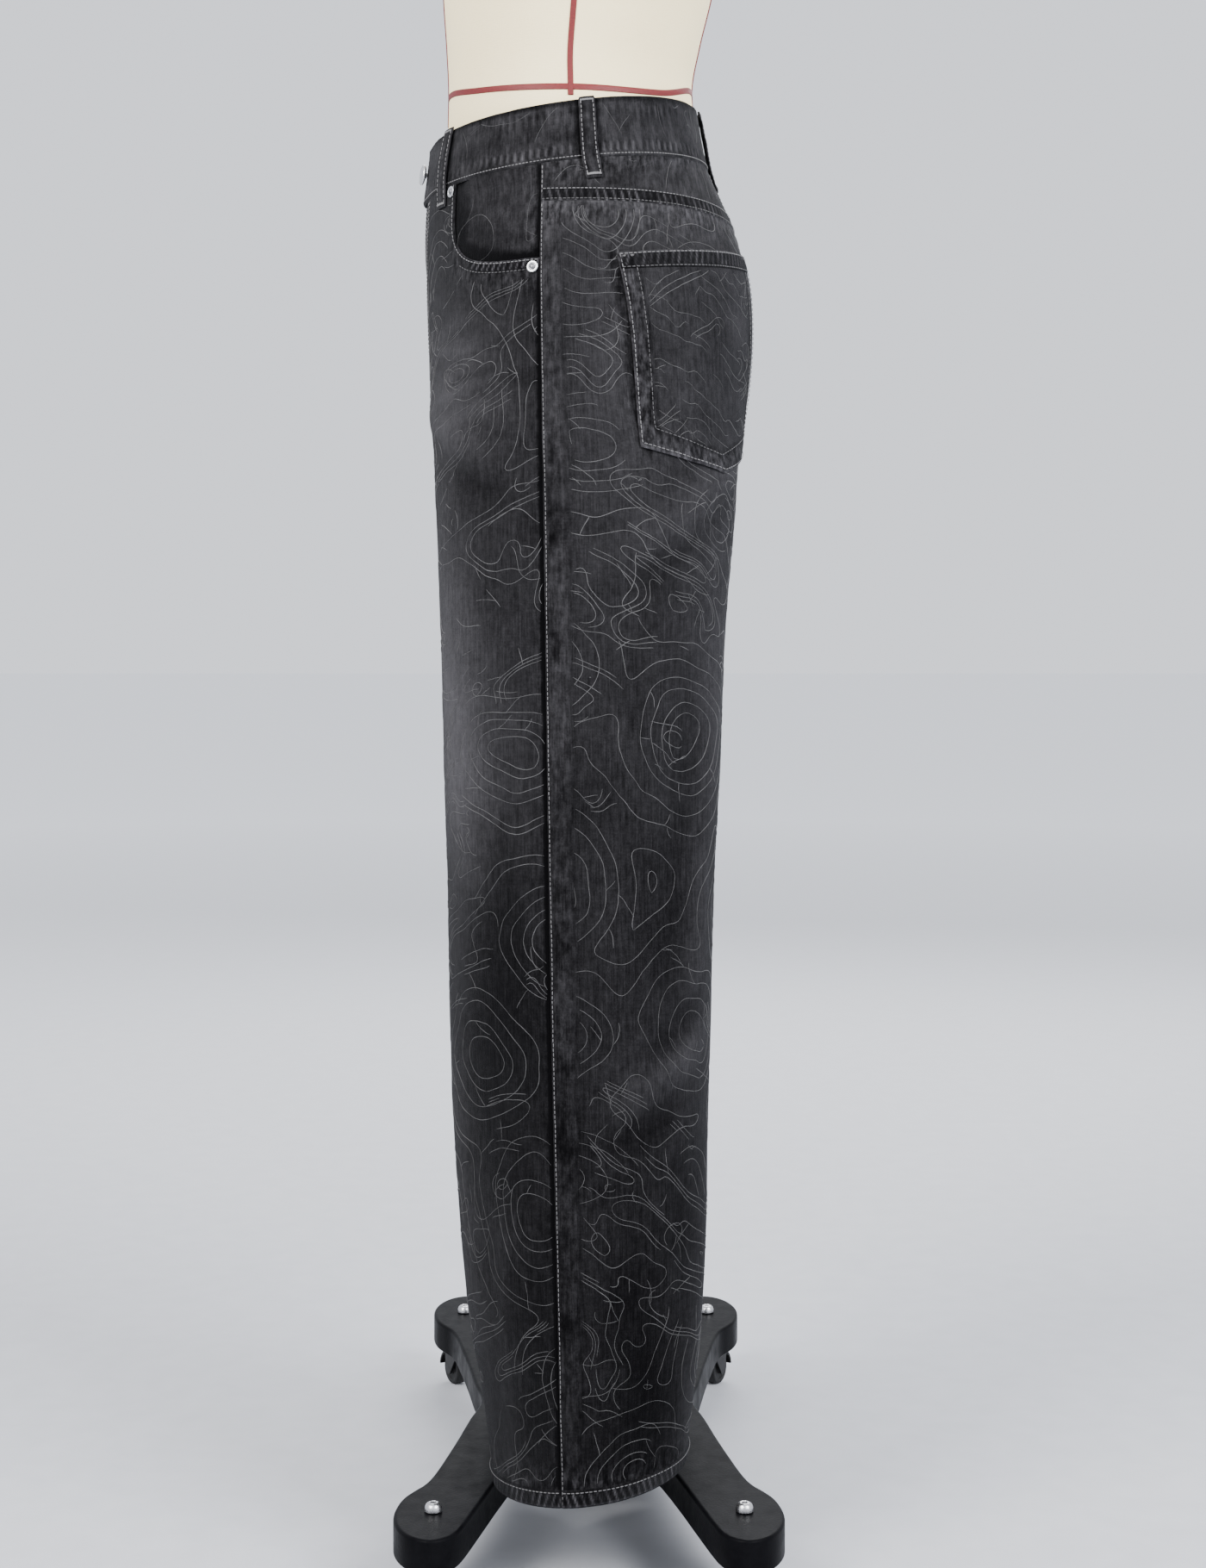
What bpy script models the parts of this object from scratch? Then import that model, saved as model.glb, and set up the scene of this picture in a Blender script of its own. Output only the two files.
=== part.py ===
"""Wide-leg five-pocket jeans worn on a limbless trouser form that stands on a wheeled base.

Metres, +Z up. The jeans face -Y, and +X is the wearer's left. The origin is on the floor under the
middle of the base. The form's pole rises from there, inside the right leg, because a closed crotch
leaves it no other way, so the jeans' own centre plane lies at x = GARMENT_X. Tables and functions of
the jeans and of the form count from that plane, and place() puts them in the part's frame.
"""

import math

import bmesh
import bpy
import numpy as np
from mathutils import Matrix, Vector

# Driving dimensions of the jeans
GARMENT_X = 0.100
GARMENT_Y = -0.0026
CLOTH = 0.0014
SEAM_GAP = 0.0004
HEM_LEVEL = 0.0845
HEM_HEIGHT = 0.013
HEM_STEP = 0.002
HEM_RAISE = 0.0007
WAIST_LEVEL = 1.1135
TOP_LEVEL = 1.1600
TRUNK_LEVEL = 0.98
BAND_OUT = 0.0008
BAND_THICK = 0.0028
LAP_LENGTH = 0.014
LAP_RAMP = 0.034
LAP_RISE = 0.0036
LAP_TUCK = 0.0008

# Front pocket, yoke and back pocket
MOUTH_SIDE_LEVEL = 1.0357
MOUTH_POWER = 3.6
MOUTH_SHARE = 0.50
FACING_BELOW = 0.985
FACING_PAST_MOUTH = 0.13
FACING_GAP = 0.0013
YOKE_SIDE_LEVEL = 1.082
YOKE_BACK_LEVEL = 1.060
POCKET_ARC = 0.103
POCKET_LEVEL = 1.0374
POCKET_TOP_WIDTH = 0.160
POCKET_FOOT_WIDTH = 0.150
POCKET_SIDE = 0.148
POCKET_TIP = 0.168
POCKET_TILT = math.radians(5.5)
POCKET_RISE = math.radians(2.0)
POCKET_GAP = 0.0006
POCKET_GAPE = 0.0016

# Belt loops, button and rivets
LOOP_WIDTH = 0.0145
LOOP_THICK = 0.0017
BUTTON_RADIUS = 0.0085
BUTTON_X = 0.010
BUTTON_LEAN = math.radians(13.0)
RIVET_RADIUS = 0.0046
METAL_GAP = 0.0004

# Stand
POLE_RADIUS = 0.0125
BASE_BOTTOM = 0.0475
BASE_TOP = 0.0735
PAD_X = 0.270
PAD_Y = 0.119
WHEEL_RADIUS = 0.0150
WHEEL_WIDTH = 0.0130
WHEEL_SIDES = 20
TRAIL = 0.0170
FORK_WALL = 0.0022
FORK_GAP = 0.0008
CROWN_RADIUS = 0.0130
AXLE_RADIUS = 0.0022
BORE_RADIUS = 0.0027
REST_GAP = 0.0004

# One quarter of the base's outline, from the middle of its long edge round the pad to its short edge
BASE_COLUMNS = ("x", "y")
BASE_QUARTER = (
    (0.0000, 0.0925),
    (0.0500, 0.1005),
    (0.1000, 0.1080),
    (0.1450, 0.1155),
    (0.1850, 0.1228),
    (0.2080, 0.1290),
    (0.2240, 0.1372),
    (0.2400, 0.1442),
    (0.2600, 0.1482),
    (0.2800, 0.1490),
    (0.2980, 0.1462),
    (0.3140, 0.1398),
    (0.3250, 0.1305),
    (0.3300, 0.1190),
    (0.3260, 0.1080),
    (0.3160, 0.1000),
    (0.2980, 0.0940),
    (0.2500, 0.0832),
    (0.2000, 0.0722),
    (0.1500, 0.0600),
    (0.1150, 0.0480),
    (0.0900, 0.0330),
    (0.0780, 0.0160),
    (0.0750, 0.0000),
)

# Sections of one half of the jeans: level, frontmost and backmost y, outermost x, x of the deepest line
SECTION_COLUMNS = ("level", "front", "back", "out", "centre")
SECTIONS = (
    (0.0845, -0.0722, 0.0795, 0.1900, 0.1005),
    (0.1100, -0.0756, 0.0828, 0.1900, 0.1005),
    (0.1500, -0.0810, 0.0870, 0.1900, 0.1005),
    (0.2000, -0.0905, 0.0912, 0.1890, 0.0998),
    (0.2550, -0.0967, 0.0938, 0.1880, 0.0990),
    (0.3200, -0.1012, 0.0957, 0.1860, 0.0978),
    (0.4200, -0.1065, 0.0991, 0.1830, 0.0960),
    (0.5600, -0.1096, 0.1030, 0.1810, 0.0945),
    (0.6400, -0.1120, 0.1072, 0.1810, 0.0940),
    (0.7600, -0.1150, 0.1124, 0.1815, 0.0935),
    (0.8200, -0.1174, 0.1176, 0.1825, 0.0930),
    (0.8500, -0.1188, 0.1200, 0.1830, 0.0925),
    (0.8620, -0.1194, 0.1206, 0.1830, 0.0919),
    (0.8750, -0.1204, 0.1212, 0.1828, 0.0860),
    (0.9000, -0.1226, 0.1236, 0.1820, 0.0730),
    (0.9400, -0.1254, 0.1306, 0.1795, 0.0500),
    (0.9800, -0.1274, 0.1356, 0.1755, 0.0340),
    (1.0200, -0.1292, 0.1345, 0.1690, 0.0230),
    (1.0450, -0.1304, 0.1290, 0.1640, 0.0130),
    (1.0700, -0.1318, 0.1205, 0.1575, 0.0050),
    (1.0900, -0.1318, 0.1120, 0.1515, 0.0000),
    (1.1135, -0.1304, 0.1018, 0.1445, 0.0000),
    (1.1350, -0.1280, 0.0968, 0.1408, 0.0000),
    (1.1600, -0.1252, 0.0927, 0.1370, 0.0000),
)

# y of the side seam, and how far a level line tilts (per metre of y) and bows (per metre squared)
SEAM_COLUMNS = ("level", "seam", "tilt", "bow")
SEAMS = (
    (0.0845, -0.0182, 0.117, 0.00),
    (0.1600, -0.0200, 0.070, 0.00),
    (0.2800, -0.0227, 0.000, 0.00),
    (0.5600, -0.0282, 0.000, 0.00),
    (0.8000, -0.0315, 0.000, 0.00),
    (0.9200, -0.0335, 0.000, 0.00),
    (0.9800, -0.0345, 0.020, 0.00),
    (1.0300, -0.0351, 0.055, 0.05),
    (1.0700, -0.0348, 0.095, 0.10),
    (1.1135, -0.0344, 0.118, 0.13),
    (1.1600, -0.0340, 0.140, 0.15),
)

# Large folds: level, angle round the leg, length, width, height (below 0 a trough), slope of its run
FOLD_COLUMNS = ("level", "angle", "length", "width", "height", "slope")
FOLDS = (
    (0.405, -38.0, 0.110, 0.016, 0.0034, 30.0),
    (0.370, -30.0, 0.090, 0.014, -0.0026, 26.0),
    (0.440, -50.0, 0.080, 0.014, -0.0024, 36.0),
    (0.600, -63.0, 0.300, 0.022, 0.0032, 88.0),
    (0.560, -44.0, 0.240, 0.020, -0.0022, 86.0),
    (0.690, 62.0, 0.260, 0.030, 0.0024, 94.0),
    (0.480, 40.0, 0.280, 0.026, -0.0020, 85.0),
    (0.300, 70.0, 0.220, 0.022, 0.0026, 96.0),
    (0.200, 24.0, 0.160, 0.020, -0.0020, 80.0),
    (0.180, -30.0, 0.180, 0.022, -0.0024, 100.0),
    (0.230, -72.0, 0.220, 0.022, 0.0028, 84.0),
    (0.850, -52.0, 0.160, 0.018, 0.0026, 40.0),
    (0.815, -44.0, 0.140, 0.016, -0.0022, 36.0),
    (0.900, 64.0, 0.110, 0.014, 0.0020, -24.0),
    (0.870, 58.0, 0.120, 0.014, -0.0020, -28.0),
)
FOLD_RADIUS = 0.105
RIGHT_LEG_SHIFT = -0.025
INNER_FADE = (math.radians(105.0), math.radians(135.0))
TRUNK_FADE = (0.93, 1.00)

# Sections of the form: height, frontmost and backmost y, half breadth
FORM_COLUMNS = ("height", "front", "back", "half")
FORM_SECTIONS = (
    (0.9250, -0.0560, 0.0620, 0.1220),
    (0.9290, -0.0720, 0.0780, 0.1340),
    (0.9420, -0.0900, 0.0960, 0.1460),
    (0.9650, -0.1020, 0.1090, 0.1550),
    (1.0000, -0.1100, 0.1180, 0.1600),
    (1.0400, -0.1140, 0.1160, 0.1575),
    (1.0800, -0.1160, 0.1030, 0.1480),
    (1.1100, -0.1155, 0.0950, 0.1400),
    (1.1350, -0.1142, 0.0922, 0.1350),
    (1.1600, -0.1133, 0.0905, 0.1315),
    (1.1760, -0.1129, 0.0897, 0.1290),
    (1.1940, -0.1127, 0.0888, 0.1270),
    (1.2300, -0.1143, 0.0950, 0.1285),
    (1.2714, -0.1170, 0.1050, 0.1320),
    (1.3080, -0.1180, 0.1110, 0.1345),
    (1.3280, -0.1150, 0.1085, 0.1320),
    (1.3400, -0.1060, 0.1000, 0.1230),
    (1.3450, -0.0900, 0.0840, 0.1070),
)
FORM_SIDES = 36

# Colours: red, green, blue, roughness, metallic
FINISHES = {
    "denim": (0.040, 0.040, 0.043, 0.90, 0.0),
    "metal": (0.600, 0.600, 0.610, 0.30, 1.0),
    "canvas": (0.780, 0.720, 0.590, 0.85, 0.0),
    "black_paint": (0.022, 0.022, 0.026, 0.42, 0.0),
    "black_plastic": (0.015, 0.015, 0.016, 0.35, 0.0),
    "steel": (0.550, 0.550, 0.560, 0.30, 1.0),
}


def curve(table, columns, name, at):
    """A smooth curve through one column of a table, read at the levels in at."""
    rows = np.array(table)
    x = rows[:, 0]
    y = rows[:, columns.index(name)]
    slope = np.gradient(y, x)
    at = np.clip(np.asarray(at, float), x[0], x[-1])
    i = np.clip(np.searchsorted(x, at) - 1, 0, len(x) - 2)
    width = x[i + 1] - x[i]
    t = (at - x[i]) / width
    a = y[i] * (1 + 2 * t) * (1 - t) ** 2
    b = y[i + 1] * t * t * (3 - 2 * t)
    return a + b + width * t * (1 - t) * (slope[i] * (1 - t) - slope[i + 1] * t)


def section(name, level):
    return curve(SECTIONS, SECTION_COLUMNS, name, level)


def seam(name, level):
    return curve(SEAMS, SEAM_COLUMNS, name, level)


def smooth(low, high, value):
    t = np.clip((value - low) / (high - low), 0.0, 1.0)
    return t * t * (3 - 2 * t)


def folds(level, angle, side):
    """How far the large folds lift the cloth, in metres. side is 1 for the left leg and -1 for the right."""
    lift = np.zeros(np.broadcast(level, angle).shape)
    shift = 0.0 if side > 0 else RIGHT_LEG_SHIFT
    for centre, degrees, length, width, height, slope in FOLDS:
        across = (np.degrees(angle) - degrees) * math.pi / 180 * -FOLD_RADIUS
        up = level - centre - shift
        run, rise = math.cos(math.radians(slope)), math.sin(math.radians(slope))
        along = across * run + up * rise
        off = up * run - across * rise
        lift = lift + height * np.exp(-((off / width) ** 2) - (2 * along / length) ** 4)
    inner = 1 - smooth(*INNER_FADE, np.abs(angle))
    return lift * inner * (1 - smooth(*TRUNK_FADE, level))


def bare_point(level, angle, side):
    """A point of the cloth's outer face. The angle is 0 at the outside of the leg and grows to the front."""
    level, angle = np.broadcast_arrays(np.asarray(level, float), np.asarray(angle, float))
    front, back = section("front", level), section("back", level)
    centre = section("centre", level)
    middle = (front + back) / 2
    raise_hem = HEM_RAISE * (1 - smooth(HEM_LEVEL + HEM_HEIGHT, HEM_LEVEL + HEM_HEIGHT + HEM_STEP, level))
    lift = folds(level, angle, side) + raise_hem
    x = centre + (section("out", level) - centre + lift) * np.cos(angle)
    y = middle - ((back - front) / 2 + lift) * np.sin(angle)
    z = level + seam("tilt", level) * y + seam("bow", level) * y * y
    return np.stack([x, y, z], -1)


def place(points, side=1):
    return points * np.array([side, 1, 1]) + np.array([GARMENT_X, GARMENT_Y, 0])


def point(level, angle, side=1, out=0.0):
    """A point of the cloth moved out along its normal, in the part's frame."""
    step_level, step_angle = 0.002, 0.02
    here = bare_point(level, angle, side)
    up = bare_point(level + step_level, angle, side) - bare_point(level - step_level, angle, side)
    round_leg = bare_point(level, angle + step_angle, side) - bare_point(level, angle - step_angle, side)
    normal = np.cross(up, round_leg)
    normal /= np.linalg.norm(normal, axis=-1, keepdims=True)
    return place(here + normal * np.asarray(out, float)[..., None], side)


def side_seam_angle(level):
    front, back = section("front", level), section("back", level)
    return np.arcsin(((front + back) / 2 - seam("seam", level)) / ((back - front) / 2))


def end_angle(level):
    """The angle of the centre seam in the trunk, and of the inseam below the crotch."""
    centre = section("centre", level)
    reach = section("out", level) - centre
    meets = np.arccos(np.clip((SEAM_GAP / 2 - centre) / reach, -1.0, 1.0))
    return np.minimum(meets, math.pi - SEAM_GAP / 2 / reach)


def angle_at(level, arc):
    """The angle that lies arc metres round the leg from its outside, to the back for arc above 0."""
    level, arc = np.broadcast_arrays(np.asarray(level, float), np.asarray(arc, float))
    steps = np.linspace(0.0, math.pi, 361)
    out = np.empty(level.shape)
    for i in np.ndindex(level.shape):
        sign = -1.0 if arc[i] > 0 else 1.0
        ring = bare_point(level[i], sign * steps, 1)[:, :2]
        run = np.concatenate([[0], np.cumsum(np.linalg.norm(np.diff(ring, axis=0), axis=1))])
        out[i] = sign * np.interp(abs(arc[i]), run, steps)
    return out


def material(name):
    made = bpy.data.materials.get(name)
    if made is None:
        red, green, blue, rough, metal = FINISHES[name]
        made = bpy.data.materials.new(name)
        made.use_nodes = True
        shader = made.node_tree.nodes["Principled BSDF"]
        shader.inputs["Base Color"].default_value = (red, green, blue, 1)
        shader.inputs["Roughness"].default_value = rough
        shader.inputs["Metallic"].default_value = metal
    return made


def add(name, mesh, finish, smooth_below=40.0):
    made = bpy.data.objects.new(name, mesh)
    mesh.materials.append(material(finish))
    mesh.shade_smooth()
    mesh.set_sharp_from_angle(angle=math.radians(smooth_below))
    bpy.context.scene.collection.objects.link(made)
    return made


def from_points(name, points, faces, finish, smooth_below=40.0):
    """An object from points and faces, with every face turned outwards."""
    mesh = bpy.data.meshes.new(name)
    mesh.from_pydata([tuple(p) for p in points], [], faces)
    work = bmesh.new()
    work.from_mesh(mesh)
    bmesh.ops.recalc_face_normals(work, faces=work.faces[:])
    work.to_mesh(mesh)
    work.free()
    return add(name, mesh, finish, smooth_below)


def wall(name, outer, inner, finish="denim"):
    """A closed wall between two grids of points, rows by columns."""
    rows, columns = outer.shape[:2]
    count = rows * columns
    faces = []
    for i in range(rows - 1):
        for j in range(columns - 1):
            a, b, c, d = i * columns + j, i * columns + j + 1, (i + 1) * columns + j + 1, (i + 1) * columns + j
            faces.append((a, b, c, d))
            faces.append((count + d, count + c, count + b, count + a))
    rim = [j for j in range(columns)]
    rim += [i * columns + columns - 1 for i in range(1, rows)]
    rim += [(rows - 1) * columns + j for j in range(columns - 2, -1, -1)]
    rim += [i * columns for i in range(rows - 2, 0, -1)]
    for a, b in zip(rim, rim[1:] + rim[:1]):
        faces.append((b, a, count + a, count + b))
    points = np.concatenate([outer.reshape(-1, 3), inner.reshape(-1, 3)])
    return from_points(name, points, faces, finish)


def turned(name, profile, sides, finish, place=Matrix.Identity(4), ring=False):
    """A solid turned about its own Z from (radius, height) pairs. A ring's profile is a closed loop."""
    points, faces = [], []
    for radius, height in profile:
        for k in range(sides):
            a = 2 * math.pi * (k + 0.5) / sides
            points.append(place @ Vector((radius * math.cos(a), radius * math.sin(a), height)))
    last = len(profile) if ring else len(profile) - 1
    for i in range(last):
        for k in range(sides):
            a, b = i * sides + k, i * sides + (k + 1) % sides
            n = (i + 1) % len(profile) * sides
            faces.append((a, b, n + (k + 1) % sides, n + k))
    if not ring:
        faces.append(tuple(range(sides - 1, -1, -1)))
        faces.append(tuple((len(profile) - 1) * sides + k for k in range(sides)))
    return from_points(name, points, faces, finish)


def union(name, first, others):
    """Fuses solids into the first one and leaves a single object."""
    for other in others:
        join = first.modifiers.new("join", "BOOLEAN")
        join.operation = "UNION"
        join.object = other
        other.hide_render = True
        other.display_type = "WIRE"
    first.name = name
    return first


SHARED_ROWS = np.array(
    [HEM_LEVEL, 0.0972, 0.0996, 0.130, 0.165, 0.200, 0.240, 0.285, 0.325, 0.350, 0.370, 0.390, 0.410, 0.430,
     0.450, 0.480, 0.520, 0.570, 0.620, 0.675, 0.730, 0.780, 0.815, 0.840, 0.862, 0.874, 0.894, 0.920,
     0.950, TRUNK_LEVEL]
)
TOP_ROWS = 4
FRONT_SHARES = np.concatenate(
    [MOUTH_SHARE * np.sin(np.linspace(0, math.pi / 2, 8)), MOUTH_SHARE + (1 - MOUTH_SHARE) * np.arange(1, 5) / 4]
)
BACK_SHARES = np.linspace(0, 1, 14)


def mouth_level(share):
    """The upper edge of the front panel: the pocket's scooped mouth, then the waist seam."""
    t = np.clip(share / MOUTH_SHARE, 0.0, 1.0)
    depth = WAIST_LEVEL - SEAM_GAP - MOUTH_SIDE_LEVEL
    return WAIST_LEVEL - SEAM_GAP - depth * (1 - t**MOUTH_POWER) ** (1 / MOUTH_POWER)


def yoke_level(share):
    return YOKE_SIDE_LEVEL + (YOKE_BACK_LEVEL - YOKE_SIDE_LEVEL) * share


def panel_levels(top):
    """Levels of a panel's grid, whose upper rows rise to the edge that top gives for each column."""
    rows = [np.full(len(top), level) for level in SHARED_ROWS]
    for i in range(1, TOP_ROWS + 1):
        rows.append(TRUNK_LEVEL + (top - TRUNK_LEVEL) * i / TOP_ROWS)
    return np.array(rows)


def seam_to_seam(levels, shares, facing):
    """Angles from the side seam to the centre seam. facing is 1 for the front and -1 for the back."""
    start = side_seam_angle(levels) + facing * SEAM_GAP / 2 / FOLD_RADIUS
    return start + (facing * end_angle(levels) - start) * shares


def front_panel(name, side):
    levels = panel_levels(mouth_level(FRONT_SHARES))
    angles = seam_to_seam(levels, FRONT_SHARES, 1)
    zero = np.zeros(levels.shape)
    wall(name, point(levels, angles, side, zero), point(levels, angles, side, zero - CLOTH))


def back_panel(name, side):
    levels = panel_levels(yoke_level(BACK_SHARES) - SEAM_GAP)
    angles = seam_to_seam(levels, BACK_SHARES, -1)
    zero = np.zeros(levels.shape)
    wall(name, point(levels, angles, side, zero), point(levels, angles, side, zero - CLOTH))


def yoke(name, side):
    t = np.linspace(0, 1, 4)[:, None]
    low = yoke_level(BACK_SHARES)[None, :]
    levels = low + (WAIST_LEVEL - SEAM_GAP - low) * t
    angles = seam_to_seam(levels, BACK_SHARES, -1)
    zero = np.zeros(levels.shape)
    wall(name, point(levels, angles, side, zero), point(levels, angles, side, zero - CLOTH))


def pocket_facing(name, side):
    """The denim that shows inside the front pocket's mouth. It lies behind the front panel."""
    shares = np.linspace(0, MOUTH_SHARE + FACING_PAST_MOUTH, 11)[None, :]
    levels = np.linspace(FACING_BELOW, WAIST_LEVEL - SEAM_GAP, 7)[:, None] + 0 * shares
    angles = seam_to_seam(levels, shares, 1)
    out = np.full(levels.shape, -CLOTH - FACING_GAP)
    wall(name, point(levels, angles, side, out), point(levels, angles, side, out - CLOTH))


def point_on_band(level, turn, out):
    """A point round the waist. The turn is 0 at the centre back and grows round the left side."""
    level, turn, out = np.broadcast_arrays(*(np.asarray(v, float) for v in (level, turn, out)))
    made = np.empty(level.shape + (3,))
    wrapped = (turn + math.pi) % (2 * math.pi) - math.pi
    for side, chosen in ((1, wrapped >= 0), (-1, wrapped < 0)):
        made[chosen] = point(level[chosen], np.abs(wrapped[chosen]) - math.pi / 2, side, out[chosen])
    return made


def lap_lift(turn):
    """The left end of the band rises where it laps over the right end, which tucks in behind it."""
    radius = section("out", WAIST_LEVEL)
    left = smooth(math.pi - LAP_RAMP / radius, math.pi + LAP_LENGTH / radius, turn)
    right = 1 - smooth(LAP_LENGTH / radius - math.pi, LAP_RAMP / radius - math.pi, turn)
    return LAP_RISE * left - LAP_TUCK * right


def waistband():
    radius = section("out", WAIST_LEVEL)
    first, last = SEAM_GAP / radius - math.pi, math.pi + LAP_LENGTH / radius
    ramp = LAP_RAMP / radius
    turns = np.concatenate(
        [np.linspace(first, ramp - math.pi, 5)[:-1], np.linspace(ramp - math.pi, math.pi - ramp, 45)[:-1],
         np.linspace(math.pi - ramp, last, 8)]
    )[None, :]
    levels = np.linspace(WAIST_LEVEL, TOP_LEVEL, 4)[:, None]
    out = BAND_OUT + lap_lift(turns)
    wall("waistband", point_on_band(levels, turns, out), point_on_band(levels, turns, out - BAND_THICK))


# Belt loops: name, turn round the waist from the centre back and lean from foot to top, in degrees
LOOPS = (
    ("belt_loop_back", 0.0, 0.0),
    ("belt_loop_left", 81.2, 0.0),
    ("belt_loop_right", -81.2, 0.0),
    ("belt_loop_front_left", 147.4, -2.4),
    ("belt_loop_front_right", -147.4, 2.4),
)
# A loop from its foot to its top: height above the waist seam, gap to the cloth's outer face
LOOP_PROFILE = (
    (-0.0170, 0.0007),
    (-0.0120, 0.0008),
    (-0.0040, 0.0018),
    (0.0050, 0.0026),
    (0.0220, 0.0032),
    (0.0370, 0.0027),
    (0.0455, 0.0018),
    (0.0480, 0.0013),
)


def belt_loop(name, degrees, lean):
    heights, gaps = np.array(LOOP_PROFILE).T
    across = np.linspace(-0.5, 0.5, 4)[None, :] * LOOP_WIDTH
    levels = (WAIST_LEVEL + heights)[:, None] + 0 * across
    radius = np.linalg.norm(bare_point(WAIST_LEVEL, math.radians(abs(degrees) - 90), 1)[:2])
    turns = np.radians(degrees + lean * np.linspace(-0.5, 0.5, len(heights)))[:, None] + across / radius
    out = gaps[:, None] + 0 * across
    wall(name, point_on_band(levels, turns, out + LOOP_THICK), point_on_band(levels, turns, out))


def back_pocket(name, side):
    """A five-sided patch made from the back panel's own points, moved out."""
    columns = np.linspace(-1, 1, 11)[None, :]
    rows = np.linspace(0, 1, 8)[:, None]
    width = POCKET_TOP_WIDTH + (POCKET_FOOT_WIDTH - POCKET_TOP_WIDTH) * rows
    across = columns * width / 2
    down = rows * (POCKET_TIP + (POCKET_SIDE - POCKET_TIP) * np.abs(columns))
    arc = POCKET_ARC + across * math.cos(POCKET_RISE) + down * math.sin(POCKET_TILT)
    level = POCKET_LEVEL + across * math.sin(POCKET_RISE) - down * math.cos(POCKET_TILT)
    angle = angle_at(level, arc)
    gape = POCKET_GAPE * (1 - columns**2) * (1 - smooth(0.0, 0.3, rows))
    out = POCKET_GAP + gape
    wall(name, point(level, angle, side, out + CLOTH), point(level, angle, side, out))


def disc_on(name, at, normal, profile, sides):
    """A small turned piece whose own Z lies along a normal of the cloth."""
    turn = Vector(normal).to_track_quat("Z", "Y").to_matrix().to_4x4()
    turned(name, profile, sides, "metal", Matrix.Translation(Vector(at)) @ turn)


def normal_at(low, high):
    n = np.asarray(high) - np.asarray(low)
    return n / np.linalg.norm(n)


def button():
    turn = math.pi - BUTTON_X / section("out", WAIST_LEVEL)
    level = (WAIST_LEVEL + TOP_LEVEL) / 2
    out = BAND_OUT + lap_lift(turn)
    at = point_on_band(level, turn, out + METAL_GAP + BUTTON_RADIUS * math.sin(BUTTON_LEAN))
    normal = Matrix.Rotation(BUTTON_LEAN, 3, "Z") @ Vector(normal_at(point_on_band(level, turn, out - 0.01), at))
    profile = (
        (0.0025, -0.0014), (0.0025, 0.0), (0.0050, 0.0), (0.0078, 0.0010), (BUTTON_RADIUS, 0.0018),
        (0.0078, 0.0030), (0.0035, 0.0036),
    )
    disc_on("button", at, normal, profile, 16)


def rivets():
    """Two on each front pocket: under the mouth at the side seam, and at its upper front end."""
    places = (("side", 1.0285, 0.029), ("front", 1.1065, 0.524))
    profile = ((0.0040, 0.0), (RIVET_RADIUS, 0.0006), (0.0036, 0.0013), (0.0018, 0.0018))
    for side, word in ((1, "left"), (-1, "right")):
        for spot, level, share in places:
            angle = seam_to_seam(np.float64(level), share, 1)
            at = point(level, angle, side, METAL_GAP)
            normal = normal_at(point(level, angle, side, -0.01), at)
            disc_on(f"rivet_{word}_{spot}", at, normal, profile, 12)


def form():
    """The limbless trouser form: one smooth closed body with a flat foot and a rounded top."""
    heights = np.sort(np.concatenate([np.array(FORM_SECTIONS)[:, 0], [1.020, 1.060]]))
    front, back, half = (curve(FORM_SECTIONS, FORM_COLUMNS, n, heights) for n in FORM_COLUMNS[1:])
    around = 2 * math.pi * np.arange(FORM_SIDES) / FORM_SIDES
    x = half[:, None] * np.cos(around)
    y = (front + back)[:, None] / 2 + (back - front)[:, None] / 2 * np.sin(around)
    points = place(np.stack([x, y, heights[:, None] + 0 * x], -1)).reshape(-1, 3)
    faces = []
    for i in range(len(heights) - 1):
        for k in range(FORM_SIDES):
            n = (k + 1) % FORM_SIDES
            faces.append((i * FORM_SIDES + k, i * FORM_SIDES + n, (i + 1) * FORM_SIDES + n, (i + 1) * FORM_SIDES + k))
    faces.append(tuple(range(FORM_SIDES - 1, -1, -1)))
    faces.append(tuple((len(heights) - 1) * FORM_SIDES + k for k in range(FORM_SIDES)))
    from_points("form", points, faces, "canvas")


def pole():
    foot, top = BASE_TOP + REST_GAP, FORM_SECTIONS[0][0] - REST_GAP
    profile = (
        (0.0300, foot), (0.0300, foot + 0.004), (0.0190, foot + 0.006), (0.0190, foot + 0.034),
        (POLE_RADIUS, foot + 0.036), (POLE_RADIUS, top - 0.010), (0.0290, top - 0.005), (0.0290, top),
    )
    turned("pole", profile, 16, "steel")


def base():
    """A one-piece plate with four broad arms, its upper edge softened."""
    quarter = BASE_QUARTER
    outline = [(x, y) for x, y in quarter]
    outline += [(x, -y) for x, y in reversed(quarter[:-1])]
    outline += [(-x, -y) for x, y in quarter[1:]]
    outline += [(-x, y) for x, y in reversed(quarter[1:-1])]
    mesh = bpy.data.meshes.new("base")
    work = bmesh.new()
    foot = work.faces.new([work.verts.new((x, y, BASE_BOTTOM)) for x, y in outline])
    raised = bmesh.ops.extrude_face_region(work, geom=[foot])["geom"]
    for vert in (v for v in raised if isinstance(v, bmesh.types.BMVert)):
        vert.co.z = BASE_TOP
    bmesh.ops.recalc_face_normals(work, faces=work.faces[:])
    rim = [e for e in work.edges if all(v.co.z > BASE_TOP - 1e-6 for v in e.verts)]
    bmesh.ops.bevel(work, geom=rim, offset=0.0024, segments=2, affect="EDGES", profile=0.5)
    work.to_mesh(mesh)
    work.free()
    add("base", mesh, "black_paint")


# Where each caster swivels, and the direction in degrees in which its wheel trails
PADS = (
    ("front_left", PAD_X, -PAD_Y, -30.0),
    ("front_right", -PAD_X, -PAD_Y, 210.0),
    ("back_left", PAD_X, PAD_Y, 30.0),
    ("back_right", -PAD_X, PAD_Y, 150.0),
)


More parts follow.
